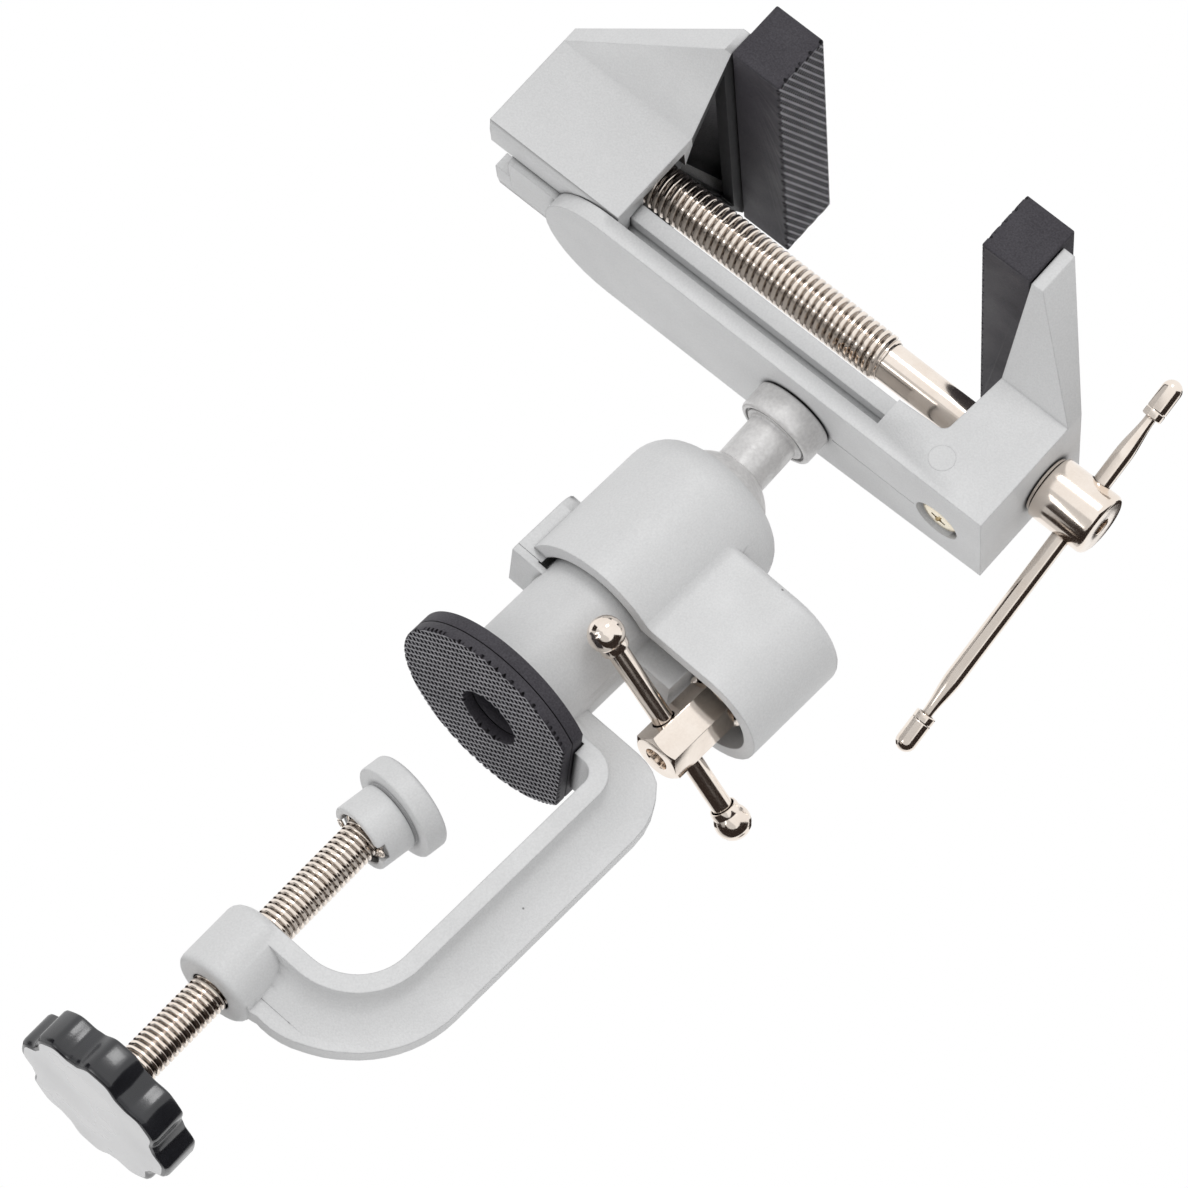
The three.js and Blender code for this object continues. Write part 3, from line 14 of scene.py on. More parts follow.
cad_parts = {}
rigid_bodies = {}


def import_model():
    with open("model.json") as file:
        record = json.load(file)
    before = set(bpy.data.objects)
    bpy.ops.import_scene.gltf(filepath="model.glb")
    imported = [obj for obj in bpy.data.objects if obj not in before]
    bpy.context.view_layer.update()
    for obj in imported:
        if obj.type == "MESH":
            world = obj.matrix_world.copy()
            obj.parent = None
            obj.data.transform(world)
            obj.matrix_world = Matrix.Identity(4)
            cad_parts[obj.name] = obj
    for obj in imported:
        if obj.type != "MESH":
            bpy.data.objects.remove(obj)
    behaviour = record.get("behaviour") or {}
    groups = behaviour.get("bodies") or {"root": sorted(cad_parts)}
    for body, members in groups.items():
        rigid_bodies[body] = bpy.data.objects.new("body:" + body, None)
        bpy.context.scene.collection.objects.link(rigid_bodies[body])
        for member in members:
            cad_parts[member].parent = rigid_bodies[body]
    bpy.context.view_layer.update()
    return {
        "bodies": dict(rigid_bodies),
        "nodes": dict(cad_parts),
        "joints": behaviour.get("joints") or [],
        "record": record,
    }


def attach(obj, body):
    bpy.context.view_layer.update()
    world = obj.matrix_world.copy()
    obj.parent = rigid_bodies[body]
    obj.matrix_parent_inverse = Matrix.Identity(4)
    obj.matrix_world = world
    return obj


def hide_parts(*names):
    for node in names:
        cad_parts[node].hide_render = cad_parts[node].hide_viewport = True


LOG = logging.getLogger("bench_vise")
MM = 0.001
FULL_TURN = 2 * pi
AXIS = 1e-7
PIT = (0.2, 0.2, 0.2)
Colour = Tuple[float, float, float]
Point2 = Tuple[float, float]
Point3 = Tuple[float, float, float]
Piece = bpy.types.Object
Pieces = List[Piece]
Mesh = bmesh.types.BMesh
Vert = bmesh.types.BMVert
Socket = bpy.types.NodeSocket


class Slot(Enum):
    """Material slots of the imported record."""

    CAST = "cast_paint"
    RAW = "raw_cast"
    NICKEL = "nickel"
    BRASS = "brass"
    RUBBER = "rubber"
    PLASTIC = "knob_plastic"
    NYLON = "seat_nylon"


class Boolean(Enum):
    """How one solid changes another."""

    CUT = "DIFFERENCE"
    KEEP = "INTERSECT"
    JOIN = "UNION"


class Graph:
    """Adds and links the nodes of one material."""

    def __init__(self, material: bpy.types.Material) -> None:
        """Args: material: the material or world whose nodes are built."""
        material.use_nodes = True
        self.nodes = material.node_tree.nodes
        self.links = material.node_tree.links
        self.nodes.clear()

    def add(self, kind: str, **inputs: object) -> bpy.types.Node:
        """Adds a node and sets its sockets.

        Args: kind: the node's Blender type, without its ShaderNode. inputs: socket values, with
            spaces in names written as underscores.
        Returns: The node.
        """
        node = self.nodes.new("ShaderNode" + kind)
        for name, value in inputs.items():
            node.inputs[name.replace("_", " ")].default_value = value
        return node

    def link(self, source: Socket, target: Socket) -> None:
        """Args: source: an output socket. target: the input socket it feeds."""
        self.links.new(source, target)

    def ramp(self, source: Socket, low: float, high: float,
             start: float = 0.3, end: float = 0.7) -> Socket:
        """Maps a grey value to a range.

        Args: source: the value read. low, high: the range that comes out. start, end: the part of
            the source that is spread over the range.
        Returns: The socket with the mapped value.
        """
        node = self.add("MapRange", From_Min=start, From_Max=end, To_Min=low, To_Max=high)
        self.link(source, node.inputs["Value"])
        return node.outputs["Result"]

    def mixed(self, share: Socket, first: object, second: object) -> Socket:
        """Mixes two colours.

        Args: share: how much of the second one there is. first, second: colours, or sockets that
            give them.
        Returns: The socket with the mixed colour.
        """
        node = self.add("Mix")
        node.data_type = "RGBA"
        self.link(share, node.inputs[0])
        for socket, colour in ((node.inputs[6], first), (node.inputs[7], second)):
            if isinstance(colour, tuple):
                socket.default_value = (*colour, 1.0)
            else:
                self.link(colour, socket)
        return node.outputs[2]

    def joined(self, operation: str, *values: Socket) -> Socket:
        """Args: operation: of a Math node. values: its two inputs. Returns: its result."""
        node = self.add("Math")
        node.operation = operation
        for socket, value in zip(node.inputs, values):
            self.link(value, socket)
        return node.outputs[0]


@dataclass(frozen=True)
class Finish:
    """A surface finish made of procedural nodes."""

    name: str
    slot: Slot
    colour: Colour
    shade: Colour
    metallic: float = 0.0
    roughness: float = 0.5
    roughness_spread: float = 0.05
    mottle_scale: float = 90.0
    grain_scale: float = 2600.0
    grain_amount: float = 0.25
    bump: float = 2e-5
    pits: float = 0.0
    coat: float = 0.0
    specular: float = 0.5
    edge_radius: float = 0.0
    # crevice and hollow settings paint shade into the colour where other surfaces close a face in
    crevice_painted_shade: float = 0.0
    crevice_painted_shade_range: Point2 = (0.25, 0.8)
    hollow_painted_shade: float = 0.0
    hollow_painted_shade_range: Point2 = (0.0, 0.24)
    mottle_range: Point2 = (0.35, 0.65)
    pit_edge: Point2 = (0.03, 0.055)
    pit_chance: Point2 = (0.86, 0.88)
    samples: int = 6
    # dark: the colour of the painted shade in crevices and hollows
    dark: Colour = (0.02, 0.02, 0.022)

    def material(self) -> bpy.types.Material:
        """Returns: the finish's material, built once."""
        found = bpy.data.materials.get(self.name)
        if found:
            return found
        made = bpy.data.materials.new(self.name)
        graph = Graph(made)
        place = graph.add("TexCoord").outputs["Object"]
        mottle = graph.add("TexNoise", Scale=self.mottle_scale, Detail=3.0)
        grain = graph.add("TexNoise", Scale=self.grain_scale, Detail=2.0)
        for node in (mottle, grain):
            graph.link(place, node.inputs["Vector"])
        blend = graph.add("Mix", Factor=self.grain_amount)
        graph.link(mottle.outputs["Fac"], blend.inputs[2])
        graph.link(grain.outputs["Fac"], blend.inputs[3])
        colour = graph.mixed(graph.ramp(blend.outputs[0], 0.0, 1.0, *self.mottle_range),
                             self.colour, self.shade)
        surface = graph.add("BsdfPrincipled", Metallic=self.metallic, Coat_Weight=self.coat,
                            Coat_Roughness=0.08, Specular_IOR_Level=self.specular)
        if self.pits:
            colour = self._pitted(graph, place, colour)
        # painted shade in crevices and hollows, from ambient occlusion
        if self.crevice_painted_shade:
            colour = self._painted_shade(graph, colour, self.crevice_painted_shade, *self.crevice_painted_shade_range)
        if self.hollow_painted_shade:
            colour = self._painted_shade(graph, colour, self.hollow_painted_shade, *self.hollow_painted_shade_range)
        graph.link(colour, surface.inputs["Base Color"])
        rough = graph.ramp(mottle.outputs["Fac"], self.roughness - self.roughness_spread,
                           self.roughness + self.roughness_spread)
        graph.link(rough, surface.inputs["Roughness"])
        relief = graph.add("Bump", Distance=self.bump)
        graph.link(grain.outputs["Fac"], relief.inputs["Height"])
        if self.edge_radius:
            edge = graph.add("Bevel", Radius=self.edge_radius)
            edge.samples = self.samples
            graph.link(edge.outputs["Normal"], relief.inputs["Normal"])
        graph.link(relief.outputs["Normal"], surface.inputs["Normal"])
        graph.link(surface.outputs["BSDF"], graph.add("OutputMaterial").inputs["Surface"])
        return made

    def _painted_shade(self, graph: Graph, colour: Socket, reach: float, closed: float,
                open_sky: float) -> Socket:
        """Paints shade into the colour where the surface is closed in, read from ambient occlusion.

        Args: graph: the nodes. colour: in the open. reach: metres within which another surface
            closes it in. closed, open_sky: openness where it is darkest, and where it is clear.
        Returns: The colour with painted shade.
        """
        sky = graph.add("AmbientOcclusion", Distance=reach)
        sky.samples = self.samples
        return graph.mixed(graph.ramp(sky.outputs["AO"], 0.0, 1.0, closed, open_sky),
                           self.dark, colour)

    def _pitted(self, graph: Graph, place: Socket, colour: Socket) -> Socket:
        """Adds sparse dark casting pits.

        Args: graph: the nodes. place: the coordinates. colour: without pits.
        Returns: The colour with pits.
        """
        cells = graph.add("TexVoronoi", Scale=self.pits)
        graph.link(place, cells.inputs["Vector"])
        spot = graph.ramp(cells.outputs["Distance"], 1.0, 0.0, *self.pit_edge)
        chance = graph.add("SeparateColor")
        graph.link(cells.outputs["Color"], chance.inputs["Color"])
        rare = graph.ramp(chance.outputs["Red"], 0.0, 1.0, *self.pit_chance)
        return graph.mixed(graph.joined("MULTIPLY", spot, rare), colour, PIT)


# Cast paint: its crevice and hollow settings paint shade into creases and hollows, and its dark
# colour is that painted shade.
CAST = Finish(
    "silver_cast_paint", Slot.CAST, (0.715, 0.717, 0.720), (0.655, 0.657, 0.660), metallic=0.06,
    roughness=0.48, grain_amount=0.75, bump=4e-5, specular=0.4, pits=160.0, edge_radius=0.00045,
    crevice_painted_shade=0.0016, hollow_painted_shade=0.012, dark=(0.06, 0.06, 0.065))
# The bed's paint keeps the painted crevice shade but has no painted hollow shade.
BED_CAST = replace(CAST, name="silver_bed_paint", hollow_painted_shade=0.0)
# Painted shade: a near-black casting colour for faces deep in the moving jaw's pocket and the
# barrel's bore, where shade falls.
POCKET_PAINTED_SHADE = Finish(
    "painted_shade_casting", Slot.CAST, (0.05, 0.05, 0.053), (0.03, 0.03, 0.032), metallic=0.1,
    roughness=0.4, grain_amount=0.6, bump=4e-5)
# Painted shade: a darker casting colour for the moving jaw's slanted faces that turn away from the
# light, with painted crevice shade too.
DIM_PAINTED_SHADE = Finish(
    "painted_shade_dim_casting", Slot.CAST, (0.17, 0.165, 0.172), (0.10, 0.097, 0.103), metallic=0.5,
    roughness=0.34, grain_amount=0.6, bump=4e-5, crevice_painted_shade=0.006)
# Raw stud casting, with painted shade in its crevices.
RAW = Finish(
    "raw_casting", Slot.RAW, (0.76, 0.75, 0.745), (0.62, 0.61, 0.605), metallic=0.25,
    roughness=0.38, roughness_spread=0.06, mottle_scale=320.0, grain_scale=1500.0,
    grain_amount=0.5, bump=4e-5, edge_radius=0.0003, crevice_painted_shade=0.0016, dark=(0.07, 0.07, 0.07))
# Nickel, with painted shade in thread roots and other crevices; its dark colour is that painted
# shade.
NICKEL = Finish(
    "warm_nickel", Slot.NICKEL, (0.92, 0.835, 0.755), (0.85, 0.755, 0.67), metallic=1.0,
    roughness=0.13, roughness_spread=0.03, mottle_scale=240.0, grain_scale=1800.0, bump=2e-6,
    crevice_painted_shade=0.0008, crevice_painted_shade_range=(0.35, 0.85), dark=(0.06, 0.04, 0.03))
BRASS = Finish("pale_brass", Slot.BRASS, (0.88, 0.80, 0.64), (0.79, 0.70, 0.53), metallic=1.0,
               roughness=0.26, bump=3e-6)
# Rubber, with painted shade in its knurl pits and other crevices.
RUBBER = Finish(
    "charcoal_rubber", Slot.RUBBER, (0.062, 0.058, 0.068), (0.036, 0.033, 0.040), roughness=0.6,
    grain_scale=3000.0, grain_amount=0.75, bump=9e-5, specular=0.3, crevice_painted_shade=0.0009,
    crevice_painted_shade_range=(0.4, 0.95), dark=(0.003, 0.003, 0.004))
# A paler rubber colour for the rib tops of the knurled faces.
GRIP = Finish("pale_rubber_rib_tops", Slot.RUBBER, (0.36, 0.355, 0.38), (0.15, 0.147, 0.16),
              roughness=0.55, grain_scale=1500.0, grain_amount=0.8, bump=6e-5)
PLASTIC = Finish(
    "black_knob_plastic", Slot.PLASTIC, (0.008, 0.0085, 0.011), (0.014, 0.015, 0.019),
    roughness=0.22, coat=0.3, bump=1e-5, specular=0.6, edge_radius=0.0002)
# Painted reflection: the black plastic knob's flat face coloured light grey for the light it
# reflects.
KNOB_FACE_PAINTED_REFLECTION = Finish("knob_face_painted_reflection", Slot.PLASTIC, (0.70, 0.70, 0.705),
                      (0.66, 0.66, 0.665), roughness=0.3, bump=1e-5)
FLAG = Finish("dark_cloth", Slot.RUBBER, (0.020, 0.012, 0.009), (0.030, 0.018, 0.013),
              roughness=0.9, bump=1e-4)
FLOOR = Finish("pale_floor", Slot.RUBBER, (0.85, 0.85, 0.85), (0.84, 0.84, 0.84), roughness=0.9,
               bump=1e-4)
NYLON = Finish("seat_nylon", Slot.NYLON, (0.70, 0.68, 0.62), (0.62, 0.60, 0.55), roughness=0.55)


def linked(name: str, data: bpy.types.ID) -> Piece:
    """Args: name: a name. data: a mesh, lamp or camera. Returns: its object in the scene."""
    made = bpy.data.objects.new(name, data)
    bpy.context.scene.collection.objects.link(made)
    return made


def mesh_object(name: str, mesh: Mesh, smooth: float = 32.0) -> Piece:
    """Turns a bmesh into an object that is smooth below a crease angle.

    Args: name: its name. mesh: the bmesh, which is freed. smooth: the crease angle in degrees.
    Returns: The object, linked to the scene.
    """
    bmesh.ops.recalc_face_normals(mesh, faces=mesh.faces)
    data = bpy.data.meshes.new(name)
    mesh.to_mesh(data)
    mesh.free()
    made = linked(name, data)
    crease(made, smooth)
    return made


def crease(piece: Piece, angle: float) -> None:
    """Args: piece: the mesh to shade smooth. angle: degrees from which an edge stays sharp."""
    piece.data.shade_smooth()
    piece.data.set_sharp_from_angle(angle=radians(angle))


def baked(piece: Piece) -> Piece:
    """Applies the modifiers of a mesh.

    Args: piece: the mesh object.
    Returns: The same object.
    """
    bpy.context.view_layer.update()
    graph = bpy.context.evaluated_depsgraph_get()
    data = bpy.data.meshes.new_from_object(piece.evaluated_get(graph))
    piece.modifiers.clear()
    old = piece.data
    piece.data = data
    bpy.data.meshes.remove(old)
    return piece


def shaped(piece: Piece, how: Boolean, *tools: Piece) -> Piece:
    """Joins, cuts or keeps a solid with other solids, which are removed.

    Args: piece: the mesh object that changes. how: the operation. tools: the other solids.
    Returns: The changed object.
    """
    for tool in tools:
        modifier = piece.modifiers.new("solid", "BOOLEAN")
        modifier.operation = how.value
        modifier.solver = "EXACT"
        modifier.object = tool
        baked(piece)
        bpy.data.objects.remove(tool)
    return piece


def rounded(piece: Piece, width: float, steps: int = 3, angle: float = 40.0) -> Piece:
    """Rounds the sharp edges of a mesh.

    Args: piece: the mesh. width: of the rounding, in millimetres. steps: facets across it.
        angle: edges sharper than this, in degrees, are rounded.
    Returns: The same object.
    """
    modifier = piece.modifiers.new("round", "BEVEL")
    modifier.width = width * MM
    modifier.segments = steps
    modifier.limit_method = "ANGLE"
    modifier.angle_limit = radians(angle)
    return baked(piece)


def filleted(corners: Sequence[Sequence[float]], steps: int = 5) -> List[Point2]:
    """Rounds the corners of a half outline.

    Args: corners: points (radius, height) or (radius, height, rounding). steps: facets in one.
    Returns: The rounded outline's points.
    """
    points: List[Point2] = []
    for i, corner in enumerate(corners):
        here = Vector(corner[:2])
        if len(corner) < 3 or i in (0, len(corners) - 1):
            points.append((here.x, here.y))
            continue
        before = (Vector(corners[i - 1][:2]) - here).normalized()
        after = (Vector(corners[i + 1][:2]) - here).normalized()
        half = before.angle(after) / 2
        reach = corner[2] / tan(half)
        centre = here + (before + after).normalized() * (corner[2] / sin(half))
        first, last = here + before * reach - centre, here + after * reach - centre
        for k in range(steps + 1):
            turned = first.lerp(last, k / steps).normalized() * corner[2]
            points.append((centre.x + turned.x, centre.y + turned.y))
    return points


def ring_of(mesh: Mesh, radii: Sequence[float], height: float) -> List[Vert]:
    """Adds a ring of vertices about the Z axis.

    Args: mesh: the mesh. radii: one for each step round the axis. height: the ring's height.
    Returns: The vertices.
    """
    angles = [FULL_TURN * (k / len(radii)) for k in range(len(radii))]
    return [mesh.verts.new((radius * cos(angle), radius * sin(angle), height))
            for radius, angle in zip(radii, angles)]


def bridged(mesh: Mesh, rows: Sequence[Sequence[Vert]], wrap: bool = True) -> None:
    """Joins each row of vertices to the next one with faces.

    Args: mesh: the mesh. rows: rows of vertices; a row of one vertex is a point. wrap: whether the
        rows close on themselves.
    """
    for low, high in zip(rows, rows[1:]):
        around = max(len(low), len(high))
        for k in range(around if wrap else around - 1):
            after = (k + 1) % around
            corners = (low[k % len(low)], low[after % len(low)], high[after % len(high)],
                       high[k % len(high)])
            if around > 1:
                mesh.faces.new(tuple(dict.fromkeys(corners)))


def lathed(name: str, outline: Sequence[Sequence[float]], around: int = 72, ring: bool = False,
           smooth: float = 32.0) -> Piece:
    """Turns a half outline about the Z axis.

    Args: name: its name. outline: points (radius, height) or (radius, height, rounding)
        in millimetres; the ends lie on the axis unless ring. around: facets round the axis. ring:
        whether the outline closes on itself. smooth: the crease angle in degrees.
    Returns: The solid.
    """
    mesh = bmesh.new()
    rows = [ring_of(mesh, [radius] * (around if radius > AXIS else 1), height)
            for radius, height in filleted([[v * MM for v in corner] for corner in outline])]
    bridged(mesh, rows + rows[:1] if ring else rows)
    return mesh_object(name, mesh, smooth)


def tube(name: str, inner: float, outer: float, low: float, high: float, around: int) -> Piece:
    """Makes a tube about the Z axis, or a rod if the inner radius is 0.

    Args: name: its name. inner, outer: the radii. low, high: the ends, in millimetres.
        around: facets round the axis.
    Returns: The solid.
    """
    outline = [(inner, low), (outer, low), (outer, high), (inner, high)]
    return lathed(name, outline, around, ring=inner > 0)


def boxed(name: str, x: Point2, y: Point2, z: Point2) -> Piece:
    """Makes a block from its ranges.

    Args: name: its name. x, y, z: its two ends on each axis, in millimetres.
    Returns: The block.
    """
    mesh = bmesh.new()
    flat = [mesh.verts.new((i * MM, j * MM, k * MM)) for i in sorted(x) for j in y for k in z]
    for face in ((0, 1, 3, 2), (4, 6, 7, 5), (0, 4, 5, 1), (2, 3, 7, 6), (0, 2, 6, 4),
                 (1, 5, 7, 3)):
        mesh.faces.new([flat[n] for n in face])
    return mesh_object(name, mesh)


def eased(value: float) -> float:
    """Args: value: a share. Returns: it held between 0 and 1, with a soft start and end."""
    held = min(1.0, max(0.0, value))
    return held * held * (3 - 2 * held)


def threaded(name: str, low: float, high: float, radius: float, depth: float, pitch: float,
             lead_in: float, around: int = 56, rows_per_turn: int = 9, root: float = 0.06,
             flank: float = 0.5, smooth: float = 80.0) -> Piece:
    """Makes a right-handed threaded rod along Z. Lengths are in millimetres.

    Args: name: its name. low, high: its ends. radius: of the crest. depth: crest to root. pitch:
        rise in one turn. lead_in: run at each end over which the thread fades. around,
        rows_per_turn: facets round the axis and in one pitch. root, flank: their shares of half
        a pitch. smooth: the crease angle in degrees.
    Returns: The rod, closed at its ends.
    """
    low, high, radius, depth, pitch, lead_in = [
        size * MM for size in (low, high, radius, depth, pitch, lead_in)]
    mesh = bmesh.new()
    count = max(2, round((high - low) / pitch * rows_per_turn))
    rows = []
    for i in range(count + 1):
        height = low + (high - low) * i / count
        fade = min(1.0, (height - low) / lead_in, (high - height) / lead_in)
        radii = []
        for k in range(around):
            wave = 1 - abs(2 * ((height / pitch - k / around) % 1.0) - 1)
            crest = eased((wave - root) / flank)
            radii.append(radius - depth + depth * crest * max(0.0, fade))
        rows.append(ring_of(mesh, radii, height))
    bridged(mesh, rows)
    mesh.faces.new(list(reversed(rows[0])))
    mesh.faces.new(rows[-1])
    return mesh_object(name, mesh, smooth)


def knurled(name: str, size: float, thick: float, pitch: float, depth: float, angle: float,
            rib: float = 0.28, wall: float = 0.15) -> Piece:
    """Makes a slab whose lower face is a net of fine ribs round square pits.

    Args: name: its name. size: half its side. thick: its height. pitch: from rib to rib. depth:
        of a pit, all in millimetres. angle: of the net, in degrees. rib, wall: width of a rib and
        of a pit's sloping wall, as shares of the pitch.
    Returns: The closed slab, ribs at z = 0.
    """
    size, thick, pitch, depth = [length * MM for length in (size, thick, pitch, depth)]
    mesh = bmesh.new()
    cells = ceil(size / pitch)
    rim = 0.5 * pitch * rib
    floor_rim = rim + wall * pitch
    corner = {}

    def vertex(i: int, j: int, z: float = 0.0) -> Vert:
        """Args: i, j: a corner of the net. z: its height. Returns: its vertex, made once."""
        key = (i, j, z)
        if key not in corner:
            corner[key] = mesh.verts.new((i * pitch, j * pitch, z))
        return corner[key]

    def loop(i: int, j: int, inset: float, z: float) -> List[Vert]:
        """Args: i, j: a cell. inset: from its sides. z: height. Returns: a square in it."""
        return [mesh.verts.new(((i + a) * pitch + (inset if a == 0 else -inset),
                                (j + b) * pitch + (inset if b == 0 else -inset), z))
                for a, b in ((0, 0), (1, 0), (1, 1), (0, 1))]

    for i in range(-cells, cells):
        for j in range(-cells, cells):
            outer = [vertex(i, j), vertex(i + 1, j), vertex(i + 1, j + 1), vertex(i, j + 1)]
            top = loop(i, j, rim, 0.0)
            pit = loop(i, j, floor_rim, depth)
            for k in range(4):
                after = (k + 1) % 4
                mesh.faces.new((outer[k], outer[after], top[after], top[k]))
                mesh.faces.new((top[k], top[after], pit[after], pit[k]))
            mesh.faces.new(pit)
    back = [vertex(i, j, thick) for i, j in ((-cells, -cells), (cells, -cells), (cells, cells),
                                             (-cells, cells))]
    mesh.faces.new(back)
    for side in range(4):
        run = []
        for n in range(-cells, cells + 1):
            run.append({0: vertex(n, -cells), 1: vertex(cells, n), 2: vertex(-n, cells),
                        3: vertex(-cells, -n)}[side])
        mesh.faces.new([*run, back[(side + 1) % 4], back[side]])
    bmesh.ops.rotate(mesh, verts=mesh.verts, matrix=Matrix.Rotation(radians(angle), 3, "Z"))
    return mesh_object(name, mesh)


def moved(piece: Piece, *steps: Matrix) -> Piece:
    """Moves a mesh's own vertices, the last step first.

    Args: piece: the mesh. steps: the matrices, as in their product.
    Returns: The same mesh.
    """
    for step in reversed(steps):
        piece.data.transform(step)
    return piece


def merged(name: str, parts: Sequence[Piece]) -> Piece:
    """Joins meshes into one object, without changing their shapes.

    Args: name: its name. parts: the meshes, which are removed.
    Returns: The joined object.
    """
    mesh = bmesh.new()
    for part in parts:
        mesh.from_mesh(part.data)
        bpy.data.objects.remove(part)
    data = bpy.data.meshes.new(name)
    mesh.to_mesh(data)
    mesh.free()
    return linked(name, data)


def dressed(piece: Piece, finish: Finish, body: str, *nodes: str) -> Piece:
    """Gives a piece its finish and ties it to its CAD body.

    Args: piece: the mesh. finish: its finish. body: the CAD body it moves with. nodes: the
        CAD nodes it stands for.
    Returns: The same object.
    """
    piece.data.materials.clear()
    piece.data.materials.append(finish.material())
    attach(piece, body)
    if nodes:
        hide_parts(*nodes)
    return piece


def level_faces(piece: Piece, axis: int, level: float, slack: float = 0.02) -> List[int]:
    """Finds the faces whose middle lies at a level.

    Args: piece: the mesh. axis: 0, 1 or 2. level: in millimetres. slack: how far off it may be.
    Returns: The numbers of the faces.
    """
    return [face.index for face in piece.data.polygons
            if abs(face.center[axis] - level * MM) < slack * MM]


def touched_up(piece: Piece, faces: Sequence[int], finish: Finish) -> Piece:
    """Gives some faces of a dressed piece another finish.

    Args: piece: the piece. faces: the numbers of the faces. finish: their finish.
    Returns: The same piece.
    """
    piece.data.materials.append(finish.material())
    for index in faces:
        piece.data.polygons[index].material_index = len(piece.data.materials) - 1
    return piece


def turn(axis: str, degrees: float) -> Matrix:
    """Args: axis: X, Y or Z. degrees: the angle. Returns: the rotation."""
    return Matrix.Rotation(radians(degrees), 4, axis)


def shift(x: float = 0.0, y: float = 0.0, z: float = 0.0) -> Matrix:
    """Args: x, y, z: millimetres along each axis. Returns: the translation."""
    return Matrix.Translation((x * MM, y * MM, z * MM))


ALONG_X = turn("Y", 90)
HEAD = (shift(0, 0, 60) @ turn("Z", -100.016) @ turn("Y", 8.541) @ turn("Z", 98.575)
        @ shift(45.5, 0, 26.5))
SPINDLE = shift(0.8, 0, -67.35) @ turn("Y", -1.57) @ shift(0, 0, 67.35)
FOOT = SPINDLE @ shift(0, 0, -32.9) @ turn("Y", 8.6) @ shift(0, 0, 32.9)
SCREW_LINE = HEAD @ shift(0, 0, 19) @ ALONG_X
TOMMY = HEAD @ shift(8.7, 0, 19) @ turn("X", 20.98)
BOLT = shift(28, 0, 0)
LOCK_BAR = shift(28, 0, 21.2) @ turn("Z", 41) @ ALONG_X


@dataclass
class LeadScrew:
    """Lead screw of the moving jaw, with its drilled hub."""

    left: float = -119.0
    thread_end: float = -38.6
    thread_radius: float = 4.85
    thread_depth: float = 0.62
    pitch: float = 1.5
    shank_radius: float = 4.05
    groove_radius: float = 3.0
    hub_radius: float = 6.6
    hub_left: float = 1.1
    hub_right: float = 13.9
    end_hole: float = 1.9
    bar_hole: float = 2.2

    def build(self) -> Pieces:
        """Returns: the screw as one piece."""
        rod = threaded("lead_thread", self.left, self.thread_end, self.thread_radius,
                       self.thread_depth, self.pitch, 1.3)
        shank = lathed("lead_shank", [
            (0, self.thread_end - 0.4), (self.shank_radius, self.thread_end - 0.4),
            (self.shank_radius, -13.05), (self.groove_radius, -13.05),
            (self.groove_radius, -8.45), (self.shank_radius, -8.45),
            (self.shank_radius, self.hub_left + 0.3), (0, self.hub_left + 0.3)])
        hub = lathed("lead_hub", [
            (0, self.hub_left), (self.hub_radius, self.hub_left, 0.35),
            (self.hub_radius, self.hub_right, 1.2), (self.end_hole, self.hub_right, 0.2),
            (self.end_hole, self.hub_right - 1.6), (0, self.hub_right - 1.6)], 96)
        for part in (rod, shank, hub):
            moved(part, SCREW_LINE)
        shaped(hub, Boolean.CUT, moved(tube("drill", 0, self.bar_hole, -9, 9, 48), TOMMY))
        crease(hub, 32)
        washer = moved(tube("thrust_washer_steel", 4.4, 5.9, 0.3, 0.8, 72), SCREW_LINE)
        return [dressed(merged("lead_screw_steel", [rod, shank, hub]), NICKEL, "screw",
                        "lead_screw"),
                dressed(washer, NICKEL, "head", "thrust_washer")]


@dataclass
class TommyBar:
    """Sliding bar of the hub with necked ends and domed caps."""

    half: float = 43.5
    radius: float = 1.85
    neck: float = 1.1
    neck_length: float = 9.0
    cap_radius: float = 2.1
    cap_length: float = 8.5
    slip: float = -13.2

    def build(self) -> Pieces:
        """Returns: the bar and its two caps."""
        rim = self.half - self.cap_length
        end = rim + 2.1
        taper = [(self.neck + (self.radius - self.neck) * (1 - cos(pi * k / 8)) / 2,
                  rim - self.neck_length * k / 8) for k in range(9)]
        upper = [(0, end), (self.neck, end)] + taper
        outline = upper + [(r, -z) for r, z in reversed(upper)]
        bar = moved(lathed("tommy_rod", outline, 48), TOMMY, shift(0, 0, self.slip))
        pieces = [dressed(bar, NICKEL, "tommy", "tommy_bar")]
        for name, side in (("tommy_cap_upper", 1), ("tommy_cap_lower", -1)):
            wide = self.cap_radius
            dome = [(wide * cos(pi * k / 20), self.half - wide + wide * sin(pi * k / 20))
                    for k in range(11)]
            cap = lathed(name + "_steel", [
                (0, rim + 2.4), (1.45, rim + 2.4), (1.45, rim, 0.15), (wide, rim, 0.3),
                (wide, rim + 1.5, 0.1), (wide - 0.12, rim + 1.7, 0.1), (wide, rim + 1.9, 0.1),
                *dome], 48)
            if side < 0:
                moved(cap, turn("X", 180))
            moved(cap, TOMMY, shift(0, 0, self.slip))
            pieces.append(dressed(cap, NICKEL, "tommy", name))
        return pieces


@dataclass
class ClampScrew:
    """Clamp screw under the table, threaded over its length."""

    tip: float = -26.0
    low: float = -104.4
    radius: float = 3.95
    depth: float = 0.52
    pitch: float = 1.25

    def build(self) -> Pieces:
        """Returns: the screw as one piece."""
        rod = threaded("clamp_thread", self.low, self.tip - 3.2, self.radius, self.depth,
                       self.pitch, 1.0)
        tip = lathed("clamp_tip", [(0, self.tip - 3.6), (3.0, self.tip - 3.6),
                                   (3.0, self.tip, 0.5), (0, self.tip)])
        screw = moved(merged("clamp_screw_steel", [rod, tip]), SPINDLE)
        return [dressed(screw, NICKEL, "clamp_screw", "clamp_screw")]


